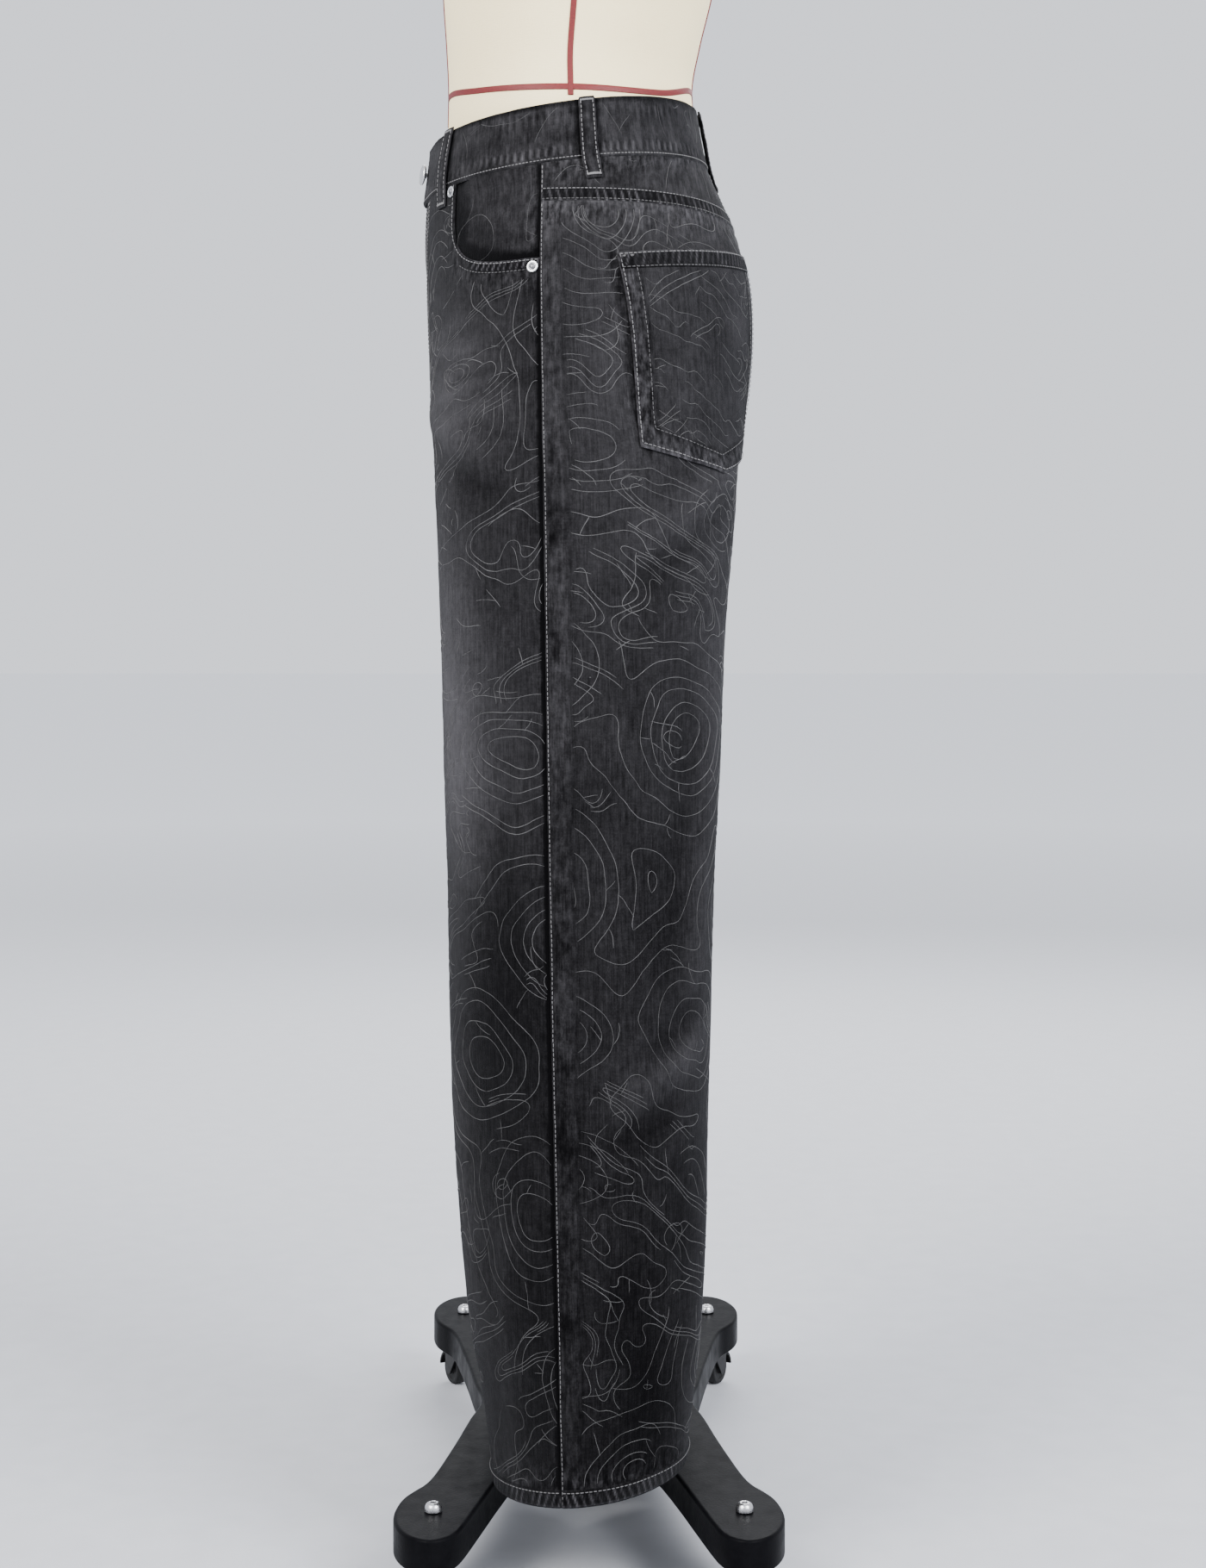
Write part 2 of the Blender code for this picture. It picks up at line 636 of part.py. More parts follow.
def bolts():
    profile = (
        (0.0066, 0.0), (0.0068, 0.0010), (0.0062, 0.0044), (0.0048, 0.0062), (0.0030, 0.0068), (0.0026, 0.0068),
        (0.0024, 0.0048),
    )
    for word, x, y, _ in PADS:
        turned(f"bolt_{word}", profile, 14, "steel", Matrix.Translation((x, y, BASE_TOP + REST_GAP)))


def plate(name, outline, low, high, place):
    """An outline in the XZ plane, made thick from y = low to y = high."""
    count = len(outline)
    points = [place @ Vector((x, y, z)) for y in (low, high) for x, z in outline]
    faces = [tuple(range(count)), tuple(range(2 * count - 1, count - 1, -1))]
    faces += [(k, k + count, (k + 1) % count + count, (k + 1) % count) for k in range(count)]
    return from_points(name, points, faces, "black_plastic")


def arc(centre, radius, first, last, count):
    angles = np.radians(np.linspace(first, last, count))
    return [(centre[0] + radius * math.cos(a), centre[1] + radius * math.sin(a)) for a in angles]


def caster(word, x, y, degrees):
    """A swivelling fork with a mudguard and a brake lever, and its wheel, which trails behind the swivel."""
    at = Matrix.Translation((x, y, 0)) @ Matrix.Rotation(math.radians(degrees), 4, "Z")
    half = WHEEL_WIDTH / 2 + FORK_GAP + FORK_WALL
    axle_at = (TRAIL, WHEEL_RADIUS)
    crown_top = BASE_BOTTOM - REST_GAP
    crown_low = 2 * WHEEL_RADIUS + 0.0024
    crown = turned(
        f"crown_{word}",
        ((CROWN_RADIUS - 0.0015, crown_low), (CROWN_RADIUS, crown_low + 0.0015), (CROWN_RADIUS, crown_top)),
        16, "black_plastic", at,
    )
    cheek = arc(axle_at, 0.0052, -170, 10, 7) + [(TRAIL + 0.0075, crown_low + 0.0005), (-0.0040, crown_low + 0.0045)]
    inner_guard = arc(axle_at, WHEEL_RADIUS + 0.0014, 135, 5, 9)
    outer_guard = arc(axle_at, WHEEL_RADIUS + 0.0032, 5, 135, 9)
    reach = TRAIL + WHEEL_RADIUS + 0.0020
    lever = [(reach - 0.0014, 0.0225), (reach + 0.0075, 0.0262), (reach + 0.0070, 0.0278), (reach - 0.0025, 0.0245)]
    parts = [
        plate(f"cheek_low_{word}", cheek, -half, -half + FORK_WALL, at),
        plate(f"cheek_high_{word}", cheek, half - FORK_WALL, half, at),
        plate(f"guard_{word}", inner_guard + outer_guard, -half, half, at),
        plate(f"lever_{word}", lever, -0.0040, 0.0040, at),
    ]
    lie = at @ Matrix.Translation((TRAIL, 0, WHEEL_RADIUS)) @ Matrix.Rotation(math.pi / 2, 4, "X")
    axle = turned(
        f"axle_{word}", ((AXLE_RADIUS, 0.0005 - half), (AXLE_RADIUS, half - 0.0005)), 12, "black_plastic", lie
    )
    union(f"caster_fork_{word}", crown, parts + [axle])
    rim = WHEEL_RADIUS / math.cos(math.pi / WHEEL_SIDES)
    soft, w = 0.0012, WHEEL_WIDTH / 2
    loop = ((BORE_RADIUS, -w), (rim - soft, -w), (rim, -w + soft), (rim, w - soft), (rim - soft, w), (BORE_RADIUS, w))
    turned(f"wheel_{word}", loop, WHEEL_SIDES, "black_plastic", lie, ring=True)


def main():
    for old in list(bpy.data.objects):
        bpy.data.objects.remove(old)
    for side, word in ((1, "left"), (-1, "right")):
        front_panel(f"front_{word}", side)
        back_panel(f"back_{word}", side)
        yoke(f"yoke_{word}", side)
        pocket_facing(f"pocket_facing_{word}", side)
        back_pocket(f"back_pocket_{word}", side)
    waistband()
    for loop in LOOPS:
        belt_loop(*loop)
    button()
    rivets()
    form()
    pole()
    base()
    bolts()
    for pad in PADS:
        caster(*pad)


main()
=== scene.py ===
"""Looks for wide-leg jeans on a limbless dress form with a wheeled stand, in metres."""

import math

import bmesh
import bpy
import numpy as np
from mathutils import Matrix, Vector

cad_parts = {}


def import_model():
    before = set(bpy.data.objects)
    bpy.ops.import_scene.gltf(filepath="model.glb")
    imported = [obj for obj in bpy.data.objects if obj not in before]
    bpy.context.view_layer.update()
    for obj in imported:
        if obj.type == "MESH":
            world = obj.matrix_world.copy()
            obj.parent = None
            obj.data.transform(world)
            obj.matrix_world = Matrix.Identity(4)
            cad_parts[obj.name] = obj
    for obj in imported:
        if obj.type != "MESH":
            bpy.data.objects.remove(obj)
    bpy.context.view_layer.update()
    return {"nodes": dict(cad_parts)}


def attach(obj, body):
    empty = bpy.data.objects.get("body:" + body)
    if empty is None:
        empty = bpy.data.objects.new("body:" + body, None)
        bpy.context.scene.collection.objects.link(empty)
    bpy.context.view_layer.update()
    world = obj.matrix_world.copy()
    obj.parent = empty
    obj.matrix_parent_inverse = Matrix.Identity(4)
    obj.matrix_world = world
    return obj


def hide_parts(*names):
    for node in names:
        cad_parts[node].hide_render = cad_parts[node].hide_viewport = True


# Where the jeans hang on the stand
GARMENT_X = 0.100
GARMENT_Y = -0.0026

# Cloth
CLOTH = 0.0014
SEAM_GAP = 0.0004
HEM_LEVEL = 0.0845
HEM_HEIGHT = 0.013
HEM_STEP = 0.002
HEM_RAISE = 0.0007
WAIST_LEVEL = 1.1135
TOP_LEVEL = 1.1600
TRUNK_LEVEL = 0.98
BAND_OUT = 0.0008
BAND_THICK = 0.0028
LAP_LENGTH = 0.014
LAP_RAMP = 0.034
LAP_RISE = 0.0036
LAP_TUCK = 0.0008

# Front pocket, yoke and back pocket
MOUTH_SIDE_LEVEL = 1.0357
MOUTH_POWER = 3.6
MOUTH_SHARE = 0.50
FACING_BELOW = 0.985
FACING_PAST_MOUTH = 0.13
FACING_GAP = 0.0013
YOKE_SIDE_LEVEL = 1.082
YOKE_BACK_LEVEL = 1.060
POCKET_ARC = 0.103
POCKET_LEVEL = 1.0374
POCKET_TOP_WIDTH = 0.160
POCKET_FOOT_WIDTH = 0.150
POCKET_SIDE = 0.148
POCKET_TIP = 0.168
POCKET_TILT = math.radians(5.5)
POCKET_RISE = math.radians(2.0)
POCKET_GAP = 0.0006
POCKET_GAPE = 0.0016

# Belt loops, button and rivets
LOOP_WIDTH = 0.0145
LOOP_THICK = 0.0017
BUTTON_RADIUS = 0.0085
BUTTON_X = 0.010
BUTTON_LEAN = math.radians(13.0)
RIVET_RADIUS = 0.0046
METAL_GAP = 0.0004

# Stand
BASE_BOTTOM = 0.0475
BASE_TOP = 0.0735
PAD_X = 0.270
PAD_Y = 0.119
WHEEL_RADIUS = 0.0150
WHEEL_WIDTH = 0.0130
TRAIL = 0.0170
BORE_RADIUS = 0.0027
REST_GAP = 0.0004
BASE_QUARTER = (
    (0.0, 0.0925), (0.05, 0.1005), (0.1, 0.108), (0.145, 0.1155), (0.185, 0.1228), (0.208, 0.129),
    (0.224, 0.1372), (0.24, 0.1442), (0.26, 0.1482), (0.28, 0.149), (0.298, 0.1462), (0.314, 0.1398),
    (0.325, 0.1305), (0.33, 0.119), (0.326, 0.108), (0.316, 0.1), (0.298, 0.094), (0.25, 0.0832),
    (0.2, 0.0722), (0.15, 0.06), (0.115, 0.048), (0.09, 0.033), (0.078, 0.016), (0.075, 0.0),
)
PADS = (
    ("front_left", PAD_X, -PAD_Y, -30.0),
    ("front_right", -PAD_X, -PAD_Y, 210.0),
    ("back_left", PAD_X, PAD_Y, 30.0),
    ("back_right", -PAD_X, PAD_Y, 150.0),
)

# Sections of one half of the jeans: level, frontmost and backmost y, outermost x, x of the deepest line
SECTION_COLUMNS = ("level", "front", "back", "out", "centre")
SECTIONS = (
    (0.0845, -0.0722, 0.0795, 0.1900, 0.1005),
    (0.1100, -0.0756, 0.0828, 0.1900, 0.1005),
    (0.1500, -0.0810, 0.0870, 0.1900, 0.1005),
    (0.2000, -0.0905, 0.0912, 0.1890, 0.0998),
    (0.2550, -0.0967, 0.0938, 0.1880, 0.0990),
    (0.3200, -0.1012, 0.0957, 0.1860, 0.0978),
    (0.4200, -0.1065, 0.0991, 0.1830, 0.0960),
    (0.5600, -0.1096, 0.1030, 0.1810, 0.0945),
    (0.6400, -0.1120, 0.1072, 0.1810, 0.0940),
    (0.7600, -0.1150, 0.1124, 0.1815, 0.0935),
    (0.8200, -0.1174, 0.1176, 0.1825, 0.0930),
    (0.8500, -0.1188, 0.1200, 0.1830, 0.0925),
    (0.8620, -0.1194, 0.1206, 0.1830, 0.0919),
    (0.8750, -0.1204, 0.1212, 0.1828, 0.0860),
    (0.9000, -0.1226, 0.1236, 0.1820, 0.0730),
    (0.9400, -0.1254, 0.1306, 0.1795, 0.0500),
    (0.9800, -0.1274, 0.1356, 0.1755, 0.0340),
    (1.0200, -0.1292, 0.1345, 0.1690, 0.0230),
    (1.0450, -0.1304, 0.1290, 0.1640, 0.0130),
    (1.0700, -0.1318, 0.1205, 0.1575, 0.0050),
    (1.0900, -0.1318, 0.1120, 0.1515, 0.0000),
    (1.1135, -0.1304, 0.1018, 0.1445, 0.0000),
    (1.1350, -0.1280, 0.0968, 0.1408, 0.0000),
    (1.1600, -0.1252, 0.0927, 0.1370, 0.0000),
)

# y of the side seam, and how far a level line tilts (per metre of y) and bows (per metre squared)
SEAM_COLUMNS = ("level", "seam", "tilt", "bow")
SEAMS = (
    (0.0845, -0.0182, 0.117, 0.00),
    (0.1600, -0.0200, 0.070, 0.00),
    (0.2800, -0.0227, 0.000, 0.00),
    (0.5600, -0.0282, 0.000, 0.00),
    (0.8000, -0.0315, 0.000, 0.00),
    (0.9200, -0.0335, 0.000, 0.00),
    (0.9800, -0.0345, 0.020, 0.00),
    (1.0300, -0.0351, 0.055, 0.05),
    (1.0700, -0.0348, 0.095, 0.10),
    (1.1135, -0.0344, 0.118, 0.13),
    (1.1600, -0.0340, 0.140, 0.15),
)

# Folds: level, angle round the leg, length, width, height (below 0 a trough), slope of its run
LARGE_FOLDS = (
    (0.405, -38.0, 0.110, 0.016, 0.0034, 30.0),
    (0.370, -30.0, 0.090, 0.014, -0.0026, 26.0),
    (0.440, -50.0, 0.080, 0.014, -0.0024, 36.0),
    (0.600, -63.0, 0.300, 0.022, 0.0032, 88.0),
    (0.560, -44.0, 0.240, 0.020, -0.0022, 86.0),
    (0.690, 62.0, 0.260, 0.030, 0.0024, 94.0),
    (0.480, 40.0, 0.280, 0.026, -0.0020, 85.0),
    (0.300, 70.0, 0.220, 0.022, 0.0026, 96.0),
    (0.200, 24.0, 0.160, 0.020, -0.0020, 80.0),
    (0.180, -30.0, 0.180, 0.022, -0.0024, 100.0),
    (0.230, -72.0, 0.220, 0.022, 0.0028, 84.0),
    (0.850, -52.0, 0.160, 0.018, 0.0026, 40.0),
    (0.815, -44.0, 0.140, 0.016, -0.0022, 36.0),
    (0.900, 64.0, 0.110, 0.014, 0.0020, -24.0),
    (0.870, 58.0, 0.120, 0.014, -0.0020, -28.0),
)
SMALL_FOLDS = (
    (0.418, -46.0, 0.052, 0.0055, 0.0009, 34.0),
    (0.392, -27.0, 0.060, 0.0050, -0.0008, 27.0),
    (0.383, -44.0, 0.048, 0.0045, 0.0007, 22.0),
    (0.432, -24.0, 0.070, 0.0060, 0.0008, 38.0),
    (0.353, -52.0, 0.055, 0.0050, 0.0007, 30.0),
    (0.340, -22.0, 0.080, 0.0065, -0.0008, 46.0),
    (0.468, -58.0, 0.065, 0.0060, -0.0007, 40.0),
    (0.985, 40.0, 0.075, 0.0050, 0.0007, -8.0),
    (0.963, 47.0, 0.090, 0.0055, 0.0008, -14.0),
    (0.944, 38.0, 0.070, 0.0045, -0.0006, -11.0),
    (0.925, 52.0, 0.085, 0.0055, 0.0007, -19.0),
    (1.006, 34.0, 0.055, 0.0045, -0.0005, -5.0),
    (0.905, 33.0, 0.060, 0.0050, 0.0005, -22.0),
    (0.760, -24.0, 0.110, 0.0090, -0.0008, 78.0),
    (0.720, -70.0, 0.120, 0.0080, 0.0009, 84.0),
    (0.660, -15.0, 0.090, 0.0075, 0.0006, 98.0),
    (0.525, 22.0, 0.100, 0.0080, 0.0008, 93.0),
    (0.610, 34.0, 0.120, 0.0090, -0.0008, 86.0),
    (0.255, 40.0, 0.085, 0.0075, 0.0008, 82.0),
    (0.150, 55.0, 0.080, 0.0070, -0.0007, 76.0),
    (0.133, 8.0, 0.070, 0.0065, 0.0006, 97.0),
    (0.160, -55.0, 0.080, 0.0070, 0.0008, 92.0),
    (0.275, -50.0, 0.095, 0.0080, -0.0008, 99.0),
    (0.885, -70.0, 0.065, 0.0060, 0.0009, 32.0),
    (0.868, -38.0, 0.060, 0.0050, -0.0007, 44.0),
    (0.832, -66.0, 0.050, 0.0050, 0.0007, 28.0),
)
FOLD_RADIUS = 0.105
RIGHT_LEG_SHIFT = -0.025
INNER_FADE = (math.radians(105.0), math.radians(135.0))
TRUNK_FADE = (0.93, 1.00)

# Sections of the form: height, frontmost and backmost y, half breadth
FORM_COLUMNS = ("height", "front", "back", "half")
FORM_SECTIONS = (
    (0.9250, -0.0560, 0.0620, 0.1220),
    (0.9290, -0.0720, 0.0780, 0.1340),
    (0.9420, -0.0900, 0.0960, 0.1460),
    (0.9650, -0.1020, 0.1090, 0.1550),
    (1.0000, -0.1100, 0.1180, 0.1600),
    (1.0400, -0.1140, 0.1160, 0.1575),
    (1.0800, -0.1160, 0.1030, 0.1480),
    (1.1100, -0.1155, 0.0950, 0.1400),
    (1.1350, -0.1142, 0.0922, 0.1350),
    (1.1600, -0.1133, 0.0905, 0.1315),
    (1.1760, -0.1129, 0.0897, 0.1290),
    (1.1940, -0.1127, 0.0888, 0.1270),
    (1.2300, -0.1143, 0.0950, 0.1285),
    (1.2714, -0.1170, 0.1050, 0.1320),
    (1.3080, -0.1180, 0.1110, 0.1345),
    (1.3280, -0.1150, 0.1085, 0.1320),
    (1.3400, -0.1060, 0.1000, 0.1230),
    (1.3450, -0.0900, 0.0840, 0.1070),
)
# The waist tape sags at the sides: degrees from the side to the back, height
WAIST_TAPE_COLUMNS = ("turn", "height")
WAIST_TAPE = (
    (-100, 1.1855), (-80, 1.1855), (-45, 1.1765), (0, 1.1715), (45, 1.1745), (80, 1.1895), (100, 1.1895),
)
TAPE_WIDTH = 0.0050
TAPE_THICK = 0.0007
TAPE_RADIUS = 0.115

# Belt loops: name, turn round the waist from the centre back and lean from foot to top, in degrees
LOOPS = (
    ("belt_loop_back", 0.0, 0.0),
    ("belt_loop_left", 81.2, 0.0),
    ("belt_loop_right", -81.2, 0.0),
    ("belt_loop_front_left", 147.4, -2.4),
    ("belt_loop_front_right", -147.4, 2.4),
)
# A loop from its foot to its top: height above the waist seam, gap to the cloth's outer face
LOOP_PROFILE = (
    (-0.0170, 0.0007),
    (-0.0120, 0.0008),
    (-0.0040, 0.0018),
    (0.0050, 0.0026),
    (0.0220, 0.0032),
    (0.0370, 0.0027),
    (0.0455, 0.0018),
    (0.0480, 0.0013),
)

# Sewing thread: a stitch, the step to the next one, how far it strays, and rows beside an edge
STITCH = 0.0031
STITCH_PITCH = 0.0036
STITCH_RADIUS = 0.00036
SIDE_STITCH_RADIUS = 0.00030
STITCH_SWAY = 0.00012
TACK_PITCH = 0.0007
TACK_LIFT = 0.0003
EDGE_ROWS = (0.0022, 0.0085)
FLY_ROWS = (0.0370, 0.0310)
FLY_TURN_LEVEL = 0.975
CROTCH_LEVEL = 0.862

# How far out a surface is read for its direction
NORMAL_REACH = 0.002

# Angles below which thread, metal and bolts look smooth, and half the width of a bolt's socket
THREAD_SMOOTH = 80.0
METAL_SMOOTH = 35.0
BOLT_SMOOTH = 30.0
SOCKET_HALF = 0.0024

# The texture coordinates of the legs lie this far apart
LEG_APART = 3.0

# Steps of the shells' grids, and small relief of the sewn cloth
SHELL_COLUMNS = 0.0046
SHELL_ROWS = 0.0044
STRIP_STEP = 0.0014
SEAM_STRIP = 0.0165
SEAM_RIDGE = 0.00045
SEAM_PUCKER = 0.00018
FRONT_DIP = 0.0005
FACING_RIPPLE = 0.00022
PUCKER_PITCH = 0.0079

# Contour threads laid on the cloth
THREAD_WIDTH = 0.00085
THREAD_HEIGHT = 0.00038
LOW_THREAD_HEIGHT = 0.00025
THREAD_STEP = 0.0030
THREAD_LEAN = 0.55
THREAD_JITTER = 0.00022
RING_LEVELS = (0.012, 0.0205, 0.033, 0.0415, 0.054, 0.0635, 0.076, 0.086, 0.098, 0.110, 0.122)
HILL_GAP = 0.104
FIELD_CELL = 0.003
SPUR_STEP = 0.0026

# Lighter and darker places of the wash: facing, level, distance from the side seam, half height,
# half width, strength
WASH = (
    (1, 0.640, 0.085, 0.110, 0.060, 0.55),
    (1, 0.775, 0.110, 0.120, 0.050, 0.25),
    (1, 0.935, 0.095, 0.060, 0.060, 0.35),
    (1, 0.450, 0.120, 0.090, 0.050, 0.18),
    (-1, 0.780, 0.150, 0.120, 0.060, 0.12),
    (-1, 0.420, 0.120, 0.060, 0.060, 0.16),
    (-1, 0.930, 0.150, 0.050, 0.060, 0.14),
)


def curve(table, columns, name, at):
    """A smooth curve through one column of a table, read at the levels in at."""
    rows = np.array(table)
    x = rows[:, 0]
    y = rows[:, columns.index(name)]
    slope = np.gradient(y, x)
    at = np.clip(np.asarray(at, float), x[0], x[-1])
    i = np.clip(np.searchsorted(x, at) - 1, 0, len(x) - 2)
    width = x[i + 1] - x[i]
    t = (at - x[i]) / width
    a = y[i] * (1 + 2 * t) * (1 - t) ** 2
    b = y[i + 1] * t * t * (3 - 2 * t)
    return a + b + width * t * (1 - t) * (slope[i] * (1 - t) - slope[i + 1] * t)


def section(name, level):
    """One measure of the leg and trunk sections at a level."""
    return curve(SECTIONS, SECTION_COLUMNS, name, level)


def seam(name, level):
    """One measure of the seams at a level."""
    return curve(SEAMS, SEAM_COLUMNS, name, level)


def smooth(low, high, value):
    """A soft step from 0 at low to 1 at high."""
    t = np.clip((value - low) / (high - low), 0.0, 1.0)
    return t * t * (3 - 2 * t)


def together(*values):
    """The same values as arrays of one common shape."""
    return np.broadcast_arrays(*(np.asarray(v, float) for v in values))


def flat_path(u, v):
    """Flat points from their two coordinates."""
    return np.stack(together(u, v), -1)


def left_of(ahead):
    """Flat directions turned a quarter to the left."""
    return np.stack([-ahead[:, 1], ahead[:, 0]], -1)


def unit(vectors):
    """The vectors at a length of one."""
    return vectors / np.maximum(np.linalg.norm(vectors, axis=-1, keepdims=True), 1e-9)


def length_along(path):
    """The distance from the first point of a path to each of its points."""
    return np.concatenate([[0], np.cumsum(np.linalg.norm(np.diff(path, axis=0), axis=1))])


def spot(x, width):
    """A soft bump of height 1 where x is 0."""
    return np.exp(-((x / width) ** 2))


def lattice(i, j, seed):
    """A repeatable number from -1 to 1 at each whole-number place."""
    mixed = (i * 374761393 + j * 668265263 + seed * 974711) & 0x7FFFFFFF
    mixed = ((mixed ^ (mixed >> 13)) * 1274126177) & 0x7FFFFFFF
    mixed = mixed ^ (mixed >> 16)
    return mixed / 0x3FFFFFFF - 1.0


def noise(x, y, seed):
    """Smooth noise from about -1 to 1, with one lump to each unit."""
    x, y = together(x, y)
    i, j = np.floor(x).astype(np.int64), np.floor(y).astype(np.int64)
    u, v = x - i, y - j
    u, v = u * u * (3 - 2 * u), v * v * (3 - 2 * v)
    low = lattice(i, j, seed) * (1 - u) + lattice(i + 1, j, seed) * u
    high = lattice(i, j + 1, seed) * (1 - u) + lattice(i + 1, j + 1, seed) * u
    return low * (1 - v) + high * v


def rough_noise(x, y, seed):
    """Noise with a finer layer on top."""
    return 0.65 * noise(x, y, seed) + 0.35 * noise(2.3 * x + 7.1, 2.3 * y + 3.3, seed + 5)


def folds(level, angle, side):
    """How far the folds lift the cloth, in metres. side is 1 for the left leg and -1 for the right."""
    large = np.zeros(np.broadcast(level, angle).shape)
    small = np.zeros(large.shape)
    shift = 0.0 if side > 0 else RIGHT_LEG_SHIFT
    for table, lift in ((LARGE_FOLDS, large), (SMALL_FOLDS, small)):
        for centre, degrees, length, width, height, slope in table:
            across = (np.degrees(angle) - degrees) * math.pi / 180 * -FOLD_RADIUS
            up = level - centre - shift
            run, rise = math.cos(math.radians(slope)), math.sin(math.radians(slope))
            along = across * run + up * rise
            off = up * run - across * rise
            lift += height * np.exp(-((off / width) ** 2) - (2 * along / length) ** 4)
    inner = 1 - smooth(*INNER_FADE, np.abs(angle))
    return (large * (1 - smooth(*TRUNK_FADE, level)) + small) * inner


def bare_point(level, angle, side):
    """A point of the cloth's outer face. The angle is 0 at the outside of the leg and grows to the front."""
    level, angle = together(level, angle)
    front, back = section("front", level), section("back", level)
    centre = section("centre", level)
    middle = (front + back) / 2
    raise_hem = HEM_RAISE * (1 - smooth(HEM_LEVEL + HEM_HEIGHT, HEM_LEVEL + HEM_HEIGHT + HEM_STEP, level))
    lift = folds(level, angle, side) + raise_hem
    x = centre + (section("out", level) - centre + lift) * np.cos(angle)
    y = middle - ((back - front) / 2 + lift) * np.sin(angle)
    z = level + seam("tilt", level) * y + seam("bow", level) * y * y
    return np.stack([x, y, z], -1)


def place(points, side=1):
    """Points of the garment, mirrored for the right side, where they stand in the frame."""
    return points * np.array([side, 1, 1]) + np.array([GARMENT_X, GARMENT_Y, 0])


def point(level, angle, side=1, out=0.0):
    """A point of the cloth moved out along its normal, in the part's frame."""
    step_level, step_angle = 0.002, 0.02
    here = bare_point(level, angle, side)
    up = bare_point(level + step_level, angle, side) - bare_point(level - step_level, angle, side)
    round_leg = bare_point(level, angle + step_angle, side) - bare_point(level, angle - step_angle, side)
    return place(here + unit(np.cross(up, round_leg)) * np.asarray(out, float)[..., None], side)


def side_seam_angle(level):
    """The angle around the leg at which the side seam runs."""
    front, back = section("front", level), section("back", level)
    return np.arcsin(((front + back) / 2 - seam("seam", level)) / ((back - front) / 2))


def end_angle(level):
    """The angle of the centre seam in the trunk, and of the inseam below the crotch."""
    centre = section("centre", level)
    reach = section("out", level) - centre
    meets = np.arccos(np.clip((SEAM_GAP / 2 - centre) / reach, -1.0, 1.0))
    return np.minimum(meets, math.pi - SEAM_GAP / 2 / reach)


def seam_to_seam(levels, shares, facing):
    """Angles from the side seam to the centre seam. facing is 1 for the front and -1 for the back."""
    start = side_seam_angle(levels) + facing * SEAM_GAP / 2 / FOLD_RADIUS
    return start + (facing * end_angle(levels) - start) * shares


def mouth_level(share):
    """The upper edge of the front panel: the pocket's scooped mouth, then the waist seam."""
    t = np.clip(share / MOUTH_SHARE, 0.0, 1.0)
    depth = WAIST_LEVEL - SEAM_GAP - MOUTH_SIDE_LEVEL
    return WAIST_LEVEL - SEAM_GAP - depth * (1 - t**MOUTH_POWER) ** (1 / MOUTH_POWER)


def yoke_level(share):
    """The level of the yoke seam at a share of the way from side seam to centre back."""
    return YOKE_SIDE_LEVEL + (YOKE_BACK_LEVEL - YOKE_SIDE_LEVEL) * share


def measured_widths(facing):
    """The flat width from side seam to centre seam or inseam, at evenly spaced levels."""
    levels = np.linspace(HEM_LEVEL, TOP_LEVEL, 120)[:, None]
    shares = np.linspace(0, 1, 61)[None, :]
    ring = bare_point(levels, seam_to_seam(levels, shares, facing), 1)
    run = np.linalg.norm(np.diff(ring, axis=1), axis=2).sum(axis=1)
    return levels[:, 0], run


WIDTHS = {facing: measured_widths(facing) for facing in (1, -1)}


def width_at(facing, level):
    """The flat width of a panel at a level."""
    return np.interp(level, *WIDTHS[facing])


def panel_relief(facing, along, level, side):
    """How far puckers and seam allowances lift a panel. along is metres from the side seam."""
    seed = 11 + 4 * facing + side
    relief = 0.00012 * rough_noise(along / 0.016, level / 0.022, seed)
    if facing > 0:
        return relief - FRONT_DIP * (1 - smooth(0.0, 0.0030, along))
    strip = 1 - smooth(SEAM_STRIP - 0.004, SEAM_STRIP + 0.002, along)
    pucker = rough_noise(along / 0.011, level / 0.0085, seed + 20)
    pucker = pucker + 0.6 * noise(along / 0.03, level / 0.019, seed + 30)
    edge = smooth(0.0, 0.0012, along)
    return relief + strip * (SEAM_RIDGE * edge + SEAM_PUCKER * pucker)


def on_panel(facing, side, along, level, out=0.0):
    """A point on a panel: metres from the side seam, level, and how far out of the cloth's face."""
    along, level, out = together(along, level, out)
    share = along / width_at(facing, level)
    relief = panel_relief(facing, along, level, side)
    return point(level, seam_to_seam(level, share, facing), side, out + relief)


def angle_at(level, arc):
    """The angle that lies arc metres round the leg from its outside, to the back for arc above 0."""
    level, arc = together(level, arc)
    steps = np.linspace(0.0, math.pi, 181)
    at_levels = np.linspace(level.min() - 0.001, level.max() + 0.001, 60)
    ring = bare_point(at_levels[:, None], -steps[None, :], 1)[..., :2]
    step = np.linalg.norm(np.diff(ring, axis=1), axis=2)
    run = np.concatenate([np.zeros((len(at_levels), 1)), np.cumsum(step, axis=1)], axis=1)
    row = (level - at_levels[0]) / (at_levels[1] - at_levels[0])
    low = np.clip(np.floor(row).astype(int), 0, len(at_levels) - 2)
    t = row - low
    out = np.empty(level.shape)
    for k in np.ndindex(level.shape):
        here = run[low[k]] * (1 - t[k]) + run[low[k] + 1] * t[k]
        out[k] = -np.sign(arc[k]) * np.interp(abs(arc[k]), here, steps)
    return out


def point_on_band(level, turn, out):
    """A point round the waist. The turn is 0 at the centre back and grows round the left side."""
    level, turn, out = together(level, turn, out)
    made = np.empty(level.shape + (3,))
    wrapped = (turn + math.pi) % (2 * math.pi) - math.pi
    for side, chosen in ((1, wrapped >= 0), (-1, wrapped < 0)):
        made[chosen] = point(level[chosen], np.abs(wrapped[chosen]) - math.pi / 2, side, out[chosen])
    return made


